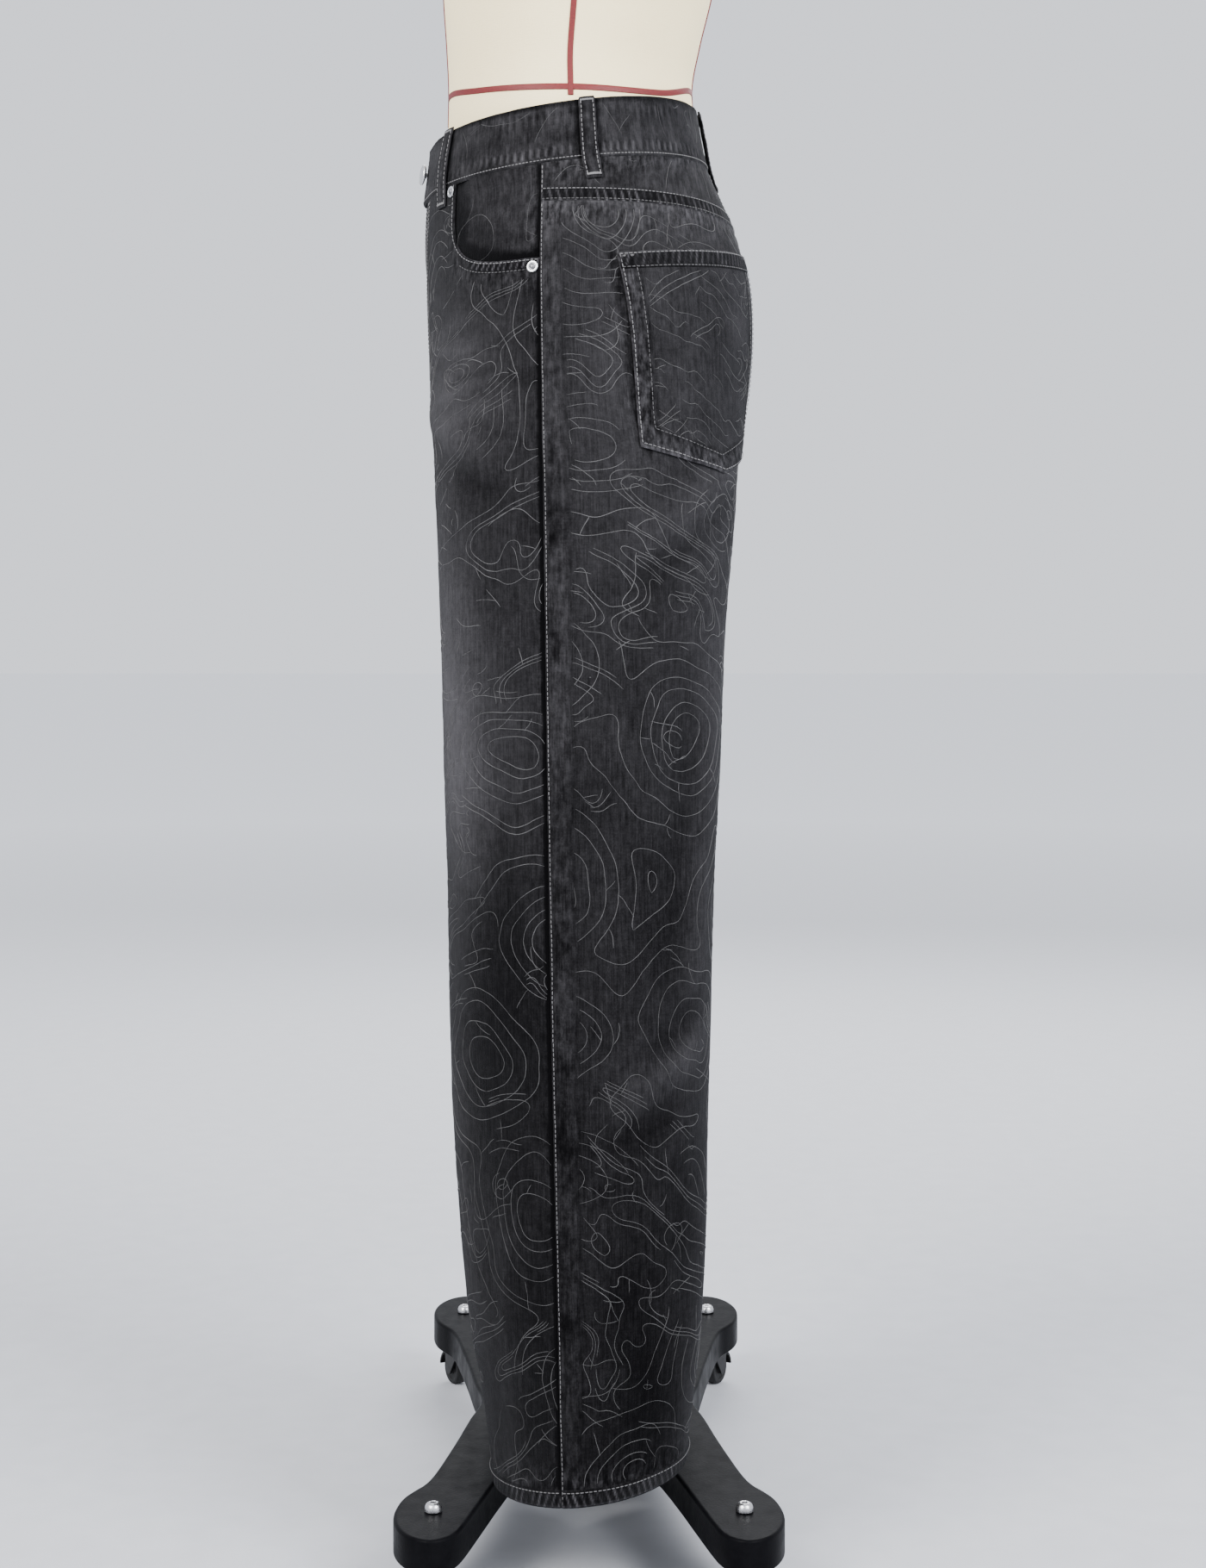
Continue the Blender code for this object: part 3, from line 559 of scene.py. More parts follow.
def lap_lift(turn):
    """The left end of the band rises where it laps over the right end, which tucks in behind it."""
    radius = section("out", WAIST_LEVEL)
    left = smooth(math.pi - LAP_RAMP / radius, math.pi + LAP_LENGTH / radius, turn)
    right = 1 - smooth(LAP_LENGTH / radius - math.pi, LAP_RAMP / radius - math.pi, turn)
    return LAP_RISE * left - LAP_TUCK * right


LOOKS = {}
STAND = "stand"


def build(name, points, faces, look, uv=None, wash_and_shade=None, crumple=None, smooth_below=50.0):
    """An object from points and faces, turned outwards. uv is in metres; the tone value is lighter above 0
    and darker below, holding both the wash and painted shade, and crumple says how far the cloth puckers
    beside its seams."""
    points = np.asarray(points, float).reshape(-1, 3)
    faces = faces.tolist() if isinstance(faces, np.ndarray) else faces
    mesh = bpy.data.meshes.new(name)
    mesh.from_pydata(points.tolist(), [], faces)
    work = bmesh.new()
    work.from_mesh(mesh)
    if work.calc_volume(signed=True) < 0:
        bmesh.ops.reverse_faces(work, faces=work.faces[:])
        work.to_mesh(mesh)
    work.free()
    corner = np.empty(len(mesh.loops), np.int32)
    mesh.loops.foreach_get("vertex_index", corner)
    if uv is not None:
        layer = mesh.uv_layers.new(name="cloth")
        layer.data.foreach_set("uv", np.asarray(uv, np.float32).reshape(-1, 2)[corner].ravel())
    for word, given in (("wash_and_shade", wash_and_shade), ("crumple", crumple)):
        if uv is None and given is None:
            continue
        made = mesh.attributes.new(word, "FLOAT", "POINT")
        values = np.zeros(len(points)) if given is None else np.asarray(given, float).ravel()
        made.data.foreach_set("value", values.astype(np.float32))
    mesh.materials.append(LOOKS[look])
    mesh.shade_smooth()
    mesh.set_sharp_from_angle(angle=math.radians(smooth_below))
    obj = bpy.data.objects.new(name, mesh)
    bpy.context.scene.collection.objects.link(obj)
    return obj


def grid_quads(rows, columns):
    """The faces of a grid of points, as indices."""
    i, j = np.meshgrid(np.arange(rows - 1), np.arange(columns - 1), indexing="ij")
    a = (i * columns + j).ravel()
    return np.stack([a, a + 1, a + columns + 1, a + columns], -1)


def wall(name, outer, inner, look="denim", uv=None, wash_and_shade=None, crumple=None, bulge=0.45):
    """A closed cloth wall between two grids of points, with rounded raw edges."""
    rows, columns = outer.shape[:2]
    count = rows * columns
    index = np.arange(count).reshape(rows, columns)
    rim = np.concatenate([index[0, :], index[1:, -1], index[-1, -2::-1], index[-2:0:-1, 0]])
    inside = np.concatenate(
        [index[1, :], index[1:-1, -2], index[-2, -1:-2:-1], index[-2, -2::-1], index[-2:0:-1, 1]]
    )
    a, b = outer.reshape(-1, 3), inner.reshape(-1, 3)
    away = unit(a[rim] - a[inside])
    thick = np.linalg.norm(a[rim] - b[rim], axis=1, keepdims=True)
    middle = (a[rim] + b[rim]) / 2 + away * thick * bulge
    points = np.concatenate([a, b, middle])
    quads = grid_quads(rows, columns)
    back = quads[:, ::-1] + count
    n = len(rim)
    k, m = np.arange(n), (np.arange(n) + 1) % n
    mid = 2 * count
    first = np.stack([rim[m], rim[k], mid + k, mid + m], -1)
    second = np.stack([mid + m, mid + k, count + rim[k], count + rim[m]], -1)
    faces = np.concatenate([quads, back, first, second])
    if uv is not None:
        flat = uv.reshape(-1, 2)
        uv = np.concatenate([flat, flat, flat[rim]])
    if wash_and_shade is not None:
        flat = wash_and_shade.ravel()
        wash_and_shade = np.concatenate([flat, 0 * flat, flat[rim] + 0.10])
    if crumple is not None:
        flat = np.broadcast_to(crumple, (rows, columns)).ravel()
        crumple = np.concatenate([flat, 0 * flat, flat[rim]])
    return build(name, points, faces, look, uv, wash_and_shade, crumple)


def ring_faces(count, sides, closed=False, caps=True):
    """The faces between rings of points one after another, and the caps at both ends."""
    faces = []
    for i in range(count if closed else count - 1):
        low, high = i * sides, (i + 1) % count * sides
        for k in range(sides):
            n = (k + 1) % sides
            faces.append((low + k, low + n, high + n, high + k))
    if caps:
        faces.append(tuple(range(sides - 1, -1, -1)))
        faces.append(tuple((count - 1) * sides + k for k in range(sides)))
    return faces


def circle(sides):
    """Evenly spaced angles once round."""
    return 2 * math.pi * np.arange(sides) / sides


def turned(name, profile, sides, look, place_at, ring=False):
    """A solid turned about its own Z from (radius, height) pairs. A ring's profile is a closed loop."""
    points = []
    for radius, height in profile:
        for k in range(sides):
            a = 2 * math.pi * (k + 0.5) / sides
            points.append(place_at @ Vector((radius * math.cos(a), radius * math.sin(a), height)))
    faces = ring_faces(len(profile), sides, closed=ring, caps=not ring)
    return build(name, points, faces, look, smooth_below=METAL_SMOOTH)


def dress(obj, slot, *nodes, body=STAND):
    """The piece rides on a body and stands for CAD nodes, which are hidden. slot is not used."""
    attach(obj, body)
    if nodes:
        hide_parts(*nodes)
    return obj


def stitches(name, rows, look="thread", radius=STITCH_RADIUS):
    """Raised stitches as one mesh. Each row is (starts, ends, normals)."""
    a = np.concatenate([r[0] for r in rows])
    b = np.concatenate([r[1] for r in rows])
    n = np.concatenate([r[2] for r in rows])
    run = b - a
    aside = unit(np.cross(run, n))
    points = [a - n * radius * 0.5]
    for share in (0.22, 0.78):
        at = a + run * share
        points += [at + aside * radius, at + n * radius * 0.9, at - aside * radius, at - n * radius * 0.7]
    points.append(b - n * radius * 0.5)
    points = np.stack(points, 1)
    pattern = [(0, 1, 2), (0, 2, 3), (0, 3, 4), (0, 4, 1), (9, 6, 5), (9, 7, 6), (9, 8, 7), (9, 5, 8)]
    pattern += [(1, 5, 6, 2), (2, 6, 7, 3), (3, 7, 8, 4), (4, 8, 5, 1)]
    faces = []
    for k in range(len(a)):
        faces += [tuple(10 * k + v for v in face) for face in pattern]
    return dress(build(name, points.reshape(-1, 3), faces, look, smooth_below=THREAD_SMOOTH), "denim")


def sewn(surface, path, lift, seed):
    """A row of stitches along a flat path on a surface(u, v, out)."""
    run = length_along(path)
    count = max(1, int(run[-1] / STITCH_PITCH))
    starts = (np.arange(count) + 0.05) * run[-1] / count
    wobble = lattice(np.arange(count), 3, seed)
    ends = starts + STITCH * run[-1] / count / STITCH_PITCH * (1 + 0.05 * wobble)

    def at(s, out):
        u = np.interp(s, run, path[:, 0]) + STITCH_SWAY * wobble
        return surface(u, np.interp(s, run, path[:, 1]), out)

    a, b = at(starts, lift), at(ends, lift)
    middle = (starts + ends) / 2
    return a, b, unit(at(middle, lift + NORMAL_REACH) - at(middle, lift))


def bar_tack(surface, first, last, width, seed=1):
    """Close cross stitches between two flat points."""
    first, last = np.asarray(first, float), np.asarray(last, float)
    run = last - first
    length = np.linalg.norm(run)
    aside = np.array([-run[1], run[0]]) / length * width / 2
    count = max(3, int(length / TACK_PITCH))
    shares = (np.arange(count) + 0.5) / count
    low = first + run * shares[:, None] - aside
    high = first + run * (shares[:, None] + 0.3 / count) + aside
    high = high + aside * 0.15 * lattice(np.arange(count), seed, 9)[:, None]
    a = surface(*low.T, TACK_LIFT)
    b = surface(*high.T, TACK_LIFT)
    return a, b, unit(surface(*low.T, TACK_LIFT + NORMAL_REACH) - a)


def strip(name, surface, path, width, height, pitch, bar, seed, uv_at, lean=0.4, worn=0.5, taper=0.0):
    """A felled or folded edge on a surface: a thin raised band along a flat path, roped by its stitching.
    The band lies to the left of the path, pitch is the step of its bars and bar is their height."""
    run = length_along(path)
    s = np.linspace(0, run[-1], int(run[-1] / STRIP_STEP) + 1)
    line = flat_path(np.interp(s, run, path[:, 0]), np.interp(s, run, path[:, 1]))
    ahead = np.gradient(line, axis=0)
    for _ in range(3):
        ahead[1:-1] = (ahead[:-2] + ahead[1:-1] + ahead[2:]) / 3
    left = left_of(unit(ahead))
    across = width * np.array([0.0, 0.06, 0.16, 0.30, 0.44, 0.58, 0.72, 0.86, 0.94, 1.0])
    flat = line[None] + left[None] * across[:, None, None]
    share = (across / width)[:, None]
    crown = np.clip(4 * share * (1 - share), 0, 1) ** 0.35
    drift = 0.9 * noise(s / 0.021, 0 * s, seed) + 0.5 * noise(s / 0.009, 0 * s + 3, seed)
    phase = 2 * math.pi * (s + lean * across[:, None]) / pitch + drift
    depth = bar * (0.75 + 0.35 * noise(s / 0.013, 0 * s + 9, seed))
    out = height * crown + depth * np.sin(phase) * crown**2
    here = smooth(0.0, taper, s) if taper else 1.0
    out = out * here - 0.0002 * (1 - here)
    outer = surface(flat[..., 0], flat[..., 1], out)
    inner = surface(flat[..., 0], flat[..., 1], np.full(out.shape, -0.0003))
    uv = flat + np.array(uv_at)
    blotch = noise(s / 0.006, 0 * s + 5, seed + 3) + 0 * across[:, None]
    bars = np.clip(np.sin(phase), 0, 1) ** 1.8
    shape = 1 - smooth(0.72, 0.90, share)
    wash_and_shade = (0.95 * bars * (0.75 + 0.5 * blotch) - 0.30) * shape - 0.22 * (1 - shape)
    wash_and_shade = (wash_and_shade + worn * (1 - smooth(0.02, 0.10, share))) * here
    return dress(wall(name, outer, inner, uv=uv, wash_and_shade=wash_and_shade, crumple=0.35), "denim")


def isolines(field, xs, ys, level):
    """Polylines where a field over a grid crosses a level."""
    above = field > level
    cell = above[:-1, :-1] * 1 + above[:-1, 1:] * 2 + above[1:, 1:] * 4 + above[1:, :-1] * 8
    table = {
        1: ((3, 0),), 2: ((0, 1),), 3: ((3, 1),), 4: ((1, 2),), 5: ((3, 0), (1, 2)),
        6: ((0, 2),), 7: ((3, 2),), 8: ((2, 3),), 9: ((2, 0),), 10: ((0, 1), (2, 3)),
        11: ((2, 1),), 12: ((1, 3),), 13: ((1, 0),), 14: ((0, 3),),
    }
    places, links = {}, {}

    def crossing(i, j, edge):
        ends = ((0, 0, 0, 1), (0, 1, 1, 1), (1, 0, 1, 1), (0, 0, 1, 0))[edge]
        key = i0, j0, i1, j1 = (i + ends[0], j + ends[1], i + ends[2], j + ends[3])
        if key not in places:
            f0, f1 = field[i0, j0], field[i1, j1]
            t = (level - f0) / (f1 - f0)
            places[key] = (xs[j0] + (xs[j1] - xs[j0]) * t, ys[i0] + (ys[i1] - ys[i0]) * t)
        return key

    for i, j in zip(*np.nonzero((cell > 0) & (cell < 15))):
        for first, last in table[int(cell[i, j])]:
            a, b = crossing(int(i), int(j), first), crossing(int(i), int(j), last)
            links.setdefault(a, []).append(b)
            links.setdefault(b, []).append(a)
    lines, used = [], set()
    starts = [k for k in links if len(links[k]) == 1] + list(links)
    for start in starts:
        if start in used:
            continue
        line, here = [start], start
        used.add(start)
        while True:
            onward = [k for k in links[here] if k not in used]
            if not onward:
                break
            here = onward[0]
            used.add(here)
            line.append(here)
        if len(line) > 2 and start in links[line[-1]]:
            line.append(start)
        if len(line) > 4:
            lines.append(np.array([places[k] for k in line]))
    return lines


def evenly(line):
    """The line with even steps, a little smoothed."""
    run = length_along(line)
    count = max(3, int(run[-1] / THREAD_STEP) + 1)
    s = np.linspace(0, run[-1], count)
    line = flat_path(np.interp(s, run, line[:, 0]), np.interp(s, run, line[:, 1]))
    for _ in range(2):
        line[1:-1] = (line[:-2] + 2 * line[1:-1] + line[2:]) / 4
    return line


def in_runs(line, keep):
    """The stretches of a line where keep is true."""
    runs, start = [], None
    for k, kept in enumerate(list(keep) + [False]):
        if kept and start is None:
            start = k
        if not kept and start is not None:
            if k - start >= 4:
                runs.append(line[start:k])
            start = None
    return runs


def hill_centres(low, high, rng):
    """Seeded places inside a flat box, with a gap between them."""
    found = []
    for _ in range(600):
        at = low + (high - low) * rng.random(2)
        if all(np.linalg.norm(at - other) > HILL_GAP for other in found):
            found.append(at)
    return np.array(found)


def spurs_of(lines, inside, rng):
    """Short branches that leave the lines at random places."""
    spurs = []
    for line in lines:
        for k in np.nonzero(rng.random(len(line)) < 0.014)[0]:
            ahead = line[min(k + 1, len(line) - 1)] - line[max(k - 1, 0)]
            heading = math.atan2(ahead[1], ahead[0]) + rng.choice((-1, 1)) * (0.5 + 0.9 * rng.random())
            at, spur = line[k], [line[k]]
            turn = 0.25 * (rng.random() - 0.5)
            for _ in range(int(3 + 6 * rng.random())):
                heading += turn + 0.3 * (rng.random() - 0.5)
                at = at + SPUR_STEP * np.array([math.cos(heading), math.sin(heading)])
                spur.append(at)
            spur = np.array(spur)
            if len(spur) > 2 and inside(spur).all():
                spurs.append(spur)
    return spurs


def contour_lines(low, high, seed, inside, rings=RING_LEVELS, fine=0.04):
    """Nested ovals, side-by-side curves and finer branching lines inside a flat box. Fine lines take over
    where the zone's noise is above fine."""
    rng = np.random.default_rng(seed)
    low, high = np.array(low, float), np.array(high, float)
    xs = np.arange(low[0], high[0] + FIELD_CELL, FIELD_CELL)
    ys = np.arange(low[1], high[1] + FIELD_CELL, FIELD_CELL)
    x, y = np.meshgrid(xs, ys)
    warp_x = x + 0.013 * rough_noise(x / 0.060, y / 0.075, seed + 1)
    warp_y = y + 0.015 * rough_noise(x / 0.070, y / 0.060, seed + 2)
    hills = hill_centres(low - 0.03, high + 0.03, rng)
    stretch = 0.80 + 0.42 * rng.random(len(hills))
    size = 0.9 + 0.35 * rng.random(len(hills))
    near = np.full(x.shape, 9.0)
    for (cx, cy), tall, big in zip(hills, stretch, size):
        reach = np.hypot((warp_x - cx) * tall**0.5, (warp_y - cy) / tall**0.5) / big
        near = -0.006 * np.logaddexp(-near / 0.006, -reach / 0.006)
    near = near + 0.0035 * rough_noise(x / 0.030, y / 0.030, seed + 3)
    fade = rough_noise(x / 0.055, y / 0.070, seed + 4)
    lines = []

    def trace(field, level, patch, patch_seed, least, zone_low, zone_high):
        """Adds a field's level lines with gaps in patches, within one kind of zone."""
        for line in isolines(field, xs, ys, level):
            line = evenly(line)
            gone = rough_noise(line[:, 0] / patch, line[:, 1] / patch, patch_seed)
            zone = rough_noise(line[:, 0] / 0.11, line[:, 1] / 0.13, seed + 6)
            keep = inside(line) & (gone > least) & (zone > zone_low) & (zone < zone_high)
            lines.extend(in_runs(line, keep))

    for k, level in enumerate(rings):
        least = -0.72 - 0.30 * (level < 0.03)
        trace(near, level + 0.003 * lattice(k, 2, seed), 0.060, seed + 40 + k, least, -9, fine + 0.14)
    run = x * math.cos(THREAD_LEAN) - y * math.sin(THREAD_LEAN)
    cross = x * math.sin(THREAD_LEAN) + y * math.cos(THREAD_LEAN)
    crackle = noise(run / 0.062 + 1.3 * fade, cross / 0.0170 + 0.8 * fade, seed + 8)
    for k, level in enumerate((-0.24, 0.03, 0.30)):
        trace(crackle, level, 0.030, seed + 60 + k, -0.52, fine - 0.04, 9)
    stray = noise(run / 0.030 + 0.8 * fade, cross / 0.024 - 0.7 * fade, seed + 9)
    trace(stray, 0.22, 0.024, seed + 80, -0.05, fine + 0.06, 9)
    return lines + spurs_of(lines, inside, rng)


def threads(name, surface, lines, seed, height=THREAD_HEIGHT, look="contour"):
    """Thin raised cords along flat lines, as one mesh of closed prisms."""
    flat = np.concatenate(lines)
    x, y = flat.T / 0.0045
    flat = flat + THREAD_JITTER * flat_path(noise(x, y, seed), noise(x, y, seed + 1))
    base = surface(*flat.T, -0.0002)
    top = surface(*flat.T, height)
    normal = unit(top - base)
    strength = 0.72 + 0.42 * rough_noise(flat[:, 0] / 0.022, flat[:, 1] / 0.022, seed + 2)
    strength = np.clip(strength, 0.30, 1.1)
    points, faces, start, flat_start = [], [], 0, 0
    for line in lines:
        n = len(line)
        part = slice(flat_start, flat_start + n)
        flat_start += n
        ahead = np.gradient(base[part], axis=0)
        aside = unit(np.cross(ahead, normal[part]))
        size = strength[part].copy()
        size[[0, -1]] *= 0.35
        half = aside * (THREAD_WIDTH / 2 * (0.55 + 0.45 * size))[:, None]
        peak = base[part] + normal[part] * (0.0002 + height * size)[:, None]
        points.append(np.stack([base[part] - half, peak, base[part] + half], 1).reshape(-1, 3))
        k = start + 3 * np.arange(n - 1)
        for a, b in ((0, 1), (1, 2), (2, 0)):
            faces.append(np.stack([k + a, k + b, k + 3 + b, k + 3 + a], -1))
        start += 3 * n
    quads = np.concatenate(faces).tolist()
    at = 0
    for line in lines:
        n = len(line)
        quads.append((at + 2, at + 1, at))
        quads.append((at + 3 * n - 3, at + 3 * n - 2, at + 3 * n - 1))
        at += 3 * n
    tone = 0.30 * rough_noise(flat[:, 0] / 0.05, flat[:, 1] / 0.06, seed + 3)
    tone -= 0.42 * (1 - smooth(0.10, 0.75, flat[:, 1]))
    wash_and_shade = np.repeat(tone, 3)
    obj = build(name, np.concatenate(points), quads, look, wash_and_shade=wash_and_shade, smooth_below=THREAD_SMOOTH)
    return dress(obj, "denim")


# Materials
class Tree:
    """A material's nodes, added and linked in one line each."""

    def __init__(self, name, colour, rough, metal=0.0, **sockets):
        self.material = bpy.data.materials.new(name)
        self.material.use_nodes = True
        self.material.diffuse_color = (*colour, 1)
        self.nodes = self.material.node_tree.nodes
        self.shader = self.nodes["Principled BSDF"]
        self.shader.inputs["Base Color"].default_value = (*colour, 1)
        self.shader.inputs["Roughness"].default_value = rough
        self.shader.inputs["Metallic"].default_value = metal
        for socket, value in sockets.items():
            self.shader.inputs[socket.replace("_", " ")].default_value = value
        LOOKS[name] = self.material

    def link(self, source, target):
        self.material.node_tree.links.new(source, target)

    def value(self, socket, given):
        if isinstance(given, bpy.types.NodeSocket):
            self.link(given, socket)
        else:
            socket.default_value = given

    def place(self, scale, kind="object", turn=0.0):
        """Texture coordinates, stretched by a scale for each axis."""
        if kind == "cloth":
            source = self.nodes.new("ShaderNodeUVMap")
            source.uv_map = "cloth"
            out = source.outputs["UV"]
        else:
            out = self.nodes.new("ShaderNodeTexCoord").outputs["Object"]
        mapping = self.nodes.new("ShaderNodeMapping")
        mapping.inputs["Scale"].default_value = scale
        mapping.inputs["Rotation"].default_value = (0, 0, turn)
        self.link(out, mapping.inputs["Vector"])
        return mapping.outputs["Vector"]

    def noise(self, scale, kind="object", detail=2.0, roughness=0.5, turn=0.0):
        node = self.nodes.new("ShaderNodeTexNoise")
        node.inputs["Scale"].default_value = 1.0
        node.inputs["Detail"].default_value = detail
        node.inputs["Roughness"].default_value = roughness
        self.link(self.place(scale, kind, turn), node.inputs["Vector"])
        return node.outputs["Fac"]

    def wave(self, scale, kind="cloth", turn=0.0, distortion=0.0):
        node = self.nodes.new("ShaderNodeTexWave")
        node.inputs["Scale"].default_value = 1.0
        node.inputs["Distortion"].default_value = distortion
        self.link(self.place(scale, kind, turn), node.inputs["Vector"])
        return node.outputs["Fac"]

    def math(self, kind, a, b=0.0, clamp=False):
        node = self.nodes.new("ShaderNodeMath")
        node.operation = kind
        node.use_clamp = clamp
        self.value(node.inputs[0], a)
        self.value(node.inputs[1], b)
        return node.outputs[0]

    def spread(self, fac, low, high):
        """Stretches a value so that low becomes 0 and high becomes 1."""
        node = self.nodes.new("ShaderNodeMapRange")
        node.inputs["From Min"].default_value = low
        node.inputs["From Max"].default_value = high
        self.link(fac, node.inputs["Value"])
        return node.outputs["Result"]

    def total(self, *pairs):
        """The sum of values, each times its weight."""
        out = None
        for fac, weight in pairs:
            part = self.math("MULTIPLY", fac, weight)
            out = part if out is None else self.math("ADD", out, part)
        return out

    def mix(self, fac, low, high):
        node = self.nodes.new("ShaderNodeMix")
        node.data_type = "RGBA"
        self.value(node.inputs["Factor"], fac)
        for socket, colour in ((node.inputs[6], low), (node.inputs[7], high)):
            self.value(socket, (*colour, 1) if isinstance(colour, tuple) else colour)
        return node.outputs[2]

    def colour(self, socket):
        self.link(socket, self.shader.inputs["Base Color"])

    def rough(self, socket):
        self.link(socket, self.shader.inputs["Roughness"])

    def bump(self, height, distance):
        node = self.nodes.new("ShaderNodeBump")
        node.inputs["Distance"].default_value = distance
        self.link(height, node.inputs["Height"])
        self.link(node.outputs["Normal"], self.shader.inputs["Normal"])

    def attribute(self, name):
        node = self.nodes.new("ShaderNodeAttribute")
        node.attribute_name = name
        return node.outputs["Fac"]


DENIM_DARK = (0.0012, 0.0011, 0.0014)
DENIM_LIGHT = (0.1000, 0.0965, 0.1040)
DENIM_LIFT = 0.02


def denim_look():
    """Dark washed twill: pale where the tone attribute is high and dark where it is low, holding both the
    wash and painted shade; mottled where crumple is.
    """
    tree = Tree("denim", (0.018, 0.0175, 0.019), 0.86, Sheen_Weight=0.05, Sheen_Roughness=0.4)
    tree.shader.inputs["Specular IOR Level"].default_value = 0.3
    tree.shader.inputs["IOR"].default_value = 1.12
    tree.shader.inputs["Sheen Tint"].default_value = (0.80, 0.82, 0.88, 1)
    twill = tree.wave((620.0, 620.0, 1.0), turn=math.radians(62), distortion=0.6)
    slub = tree.spread(tree.noise((1150.0, 42.0, 1.0), "cloth", 2.0), 0.30, 0.70)
    streak = tree.spread(tree.noise((430.0, 26.0, 1.0), "cloth", 2.0, 0.6), 0.30, 0.70)
    weft = tree.spread(tree.noise((120.0, 900.0, 1.0), "cloth", 1.0), 0.30, 0.70)
    grain = tree.spread(tree.noise((900.0, 620.0, 1.0), "cloth", 2.0, 0.7), 0.28, 0.72)
    cloud = tree.spread(tree.noise((26.0, 20.0, 1.0), "cloth", 3.0, 0.6), 0.25, 0.75)
    blotch = tree.spread(tree.noise((210.0, 150.0, 1.0), "cloth", 3.0, 0.6), 0.28, 0.72)
    # The tone attribute: the wash, with painted shadows and shade mixed in
    wash_and_shade = tree.attribute("wash_and_shade")
    slanted = tree.noise((250.0, 85.0, 1.0), "cloth", 2.0, 0.6, turn=math.radians(38))
    mottled = tree.noise((210.0, 190.0, 1.0), "cloth", 2.0, 0.55)
    pucker = tree.total((tree.spread(slanted, 0.36, 0.66), 0.65), (tree.spread(mottled, 0.36, 0.66), 0.35))
    pucker = tree.math("MULTIPLY", tree.math("SUBTRACT", pucker, 0.42), tree.attribute("crumple"))
    fac = tree.total(
        (twill, 0.04), (slub, 0.12), (streak, 0.09), (weft, 0.04), (grain, 0.13),
        (cloud, 0.08), (blotch, 0.12), (wash_and_shade, 0.62), (pucker, 0.52),
    )
    fac = tree.math("ADD", fac, DENIM_LIFT, clamp=True)
    fac = tree.math("POWER", fac, 2.0)
    tree.colour(tree.mix(fac, DENIM_DARK, DENIM_LIGHT))
    tree.rough(tree.math("ADD", tree.math("MULTIPLY", grain, 0.12), 0.78))
    tree.bump(tree.total((twill, 0.5), (slub, 0.5), (grain, 0.4)), 0.00035)


def thread_look(name, dark, light, rough=0.7, worn=False):
    """Twisted thread, which follows the wash attribute where worn."""
    middle = tuple((a + b) / 2 for a, b in zip(dark, light))
    tree = Tree(name, middle, rough, Sheen_Weight=0.15)
    tone = tree.spread(tree.noise((150.0, 150.0, 150.0), detail=2.0), 0.3, 0.7)
    ply = tree.wave((900.0, 900.0, 900.0), "object", math.radians(40), 1.0)
    parts = [(tone, 0.75), (ply, 0.25)]
    if worn:
        parts.append((tree.attribute("wash_and_shade"), 1.0))
    tree.colour(tree.mix(tree.math("ADD", tree.total(*parts), 0.0, clamp=True), dark, light))
    tree.bump(ply, 0.0002)


def metal_look(name, colour, rough):
    """Bare metal with fine marks."""
    tree = Tree(name, colour, rough, 1.0)
    fine = tree.spread(tree.noise((700.0, 700.0, 2600.0), detail=3.0), 0.3, 0.7)
    cloud = tree.spread(tree.noise((90.0, 90.0, 90.0), detail=2.0), 0.3, 0.7)
    dull = tuple(0.72 * c for c in colour)
    tree.colour(tree.mix(tree.total((fine, 0.4), (cloud, 0.4)), colour, dull))
    tree.rough(tree.math("ADD", tree.math("MULTIPLY", fine, 0.12), rough))
    tree.bump(fine, 0.00005)


def canvas_look():
    """The form's cover."""
    tree = Tree("canvas", (0.78, 0.72, 0.59), 0.82, Sheen_Weight=0.1)
    tree.shader.inputs["Specular IOR Level"].default_value = 0.25
    warp = tree.noise((1400.0, 1400.0, 160.0), detail=1.0)
    weft = tree.noise((160.0, 160.0, 1500.0), detail=1.0)
    cloud = tree.spread(tree.noise((14.0, 14.0, 10.0), detail=3.0), 0.25, 0.75)
    weave = tree.total((warp, 0.5), (weft, 0.5))
    fac = tree.total((tree.spread(weave, 0.35, 0.65), 0.35), (cloud, 0.45))
    tree.colour(tree.mix(fac, (0.950, 0.810, 0.500), (0.890, 0.740, 0.420)))
    tree.bump(weave, 0.0003)


def tape_look():
    """Ribbed red tape."""
    tree = Tree("tape", (0.12, 0.001, 0.002), 0.6)
    ribs = tree.noise((500.0, 500.0, 2200.0), detail=1.0)
    tree.colour(tree.mix(tree.spread(ribs, 0.3, 0.7), (0.085, 0.0006, 0.0012), (0.150, 0.0012, 0.0022)))
    tree.bump(ribs, 0.0002)


def paint_look():
    """Dark paint with a fine peel and a little dust."""
    tree = Tree("paint", (0.004, 0.004, 0.005), 0.34)
    tree.shader.inputs["IOR"].default_value = 1.08
    peel = tree.noise((420.0, 420.0, 420.0), detail=2.0)
    dust = tree.spread(tree.noise((60.0, 60.0, 60.0), detail=4.0, roughness=0.65), 0.35, 0.75)
    grey = tree.math("MULTIPLY", dust, 0.35)
    tree.colour(tree.mix(grey, (0.0024, 0.0024, 0.0030), (0.0085, 0.0085, 0.0100)))
    tree.rough(tree.math("ADD", tree.math("MULTIPLY", dust, 0.16), 0.33))
    tree.bump(peel, 0.00012)


def plastic_look(name="plastic", colour=(0.006, 0.006, 0.0065), rough=0.3):
    tree = Tree(name, colour, rough)
    tree.shader.inputs["IOR"].default_value = 1.3
    grain = tree.noise((600.0, 600.0, 600.0), detail=2.0)
    dust = tree.spread(tree.noise((140.0, 140.0, 140.0), detail=3.0), 0.4, 0.75)
    pale = tuple(c + 0.012 for c in colour)
    tree.colour(tree.mix(tree.math("MULTIPLY", dust, 0.4), colour, pale))
    tree.rough(tree.math("ADD", tree.math("MULTIPLY", dust, 0.2), rough))
    tree.bump(grain, 0.00008)


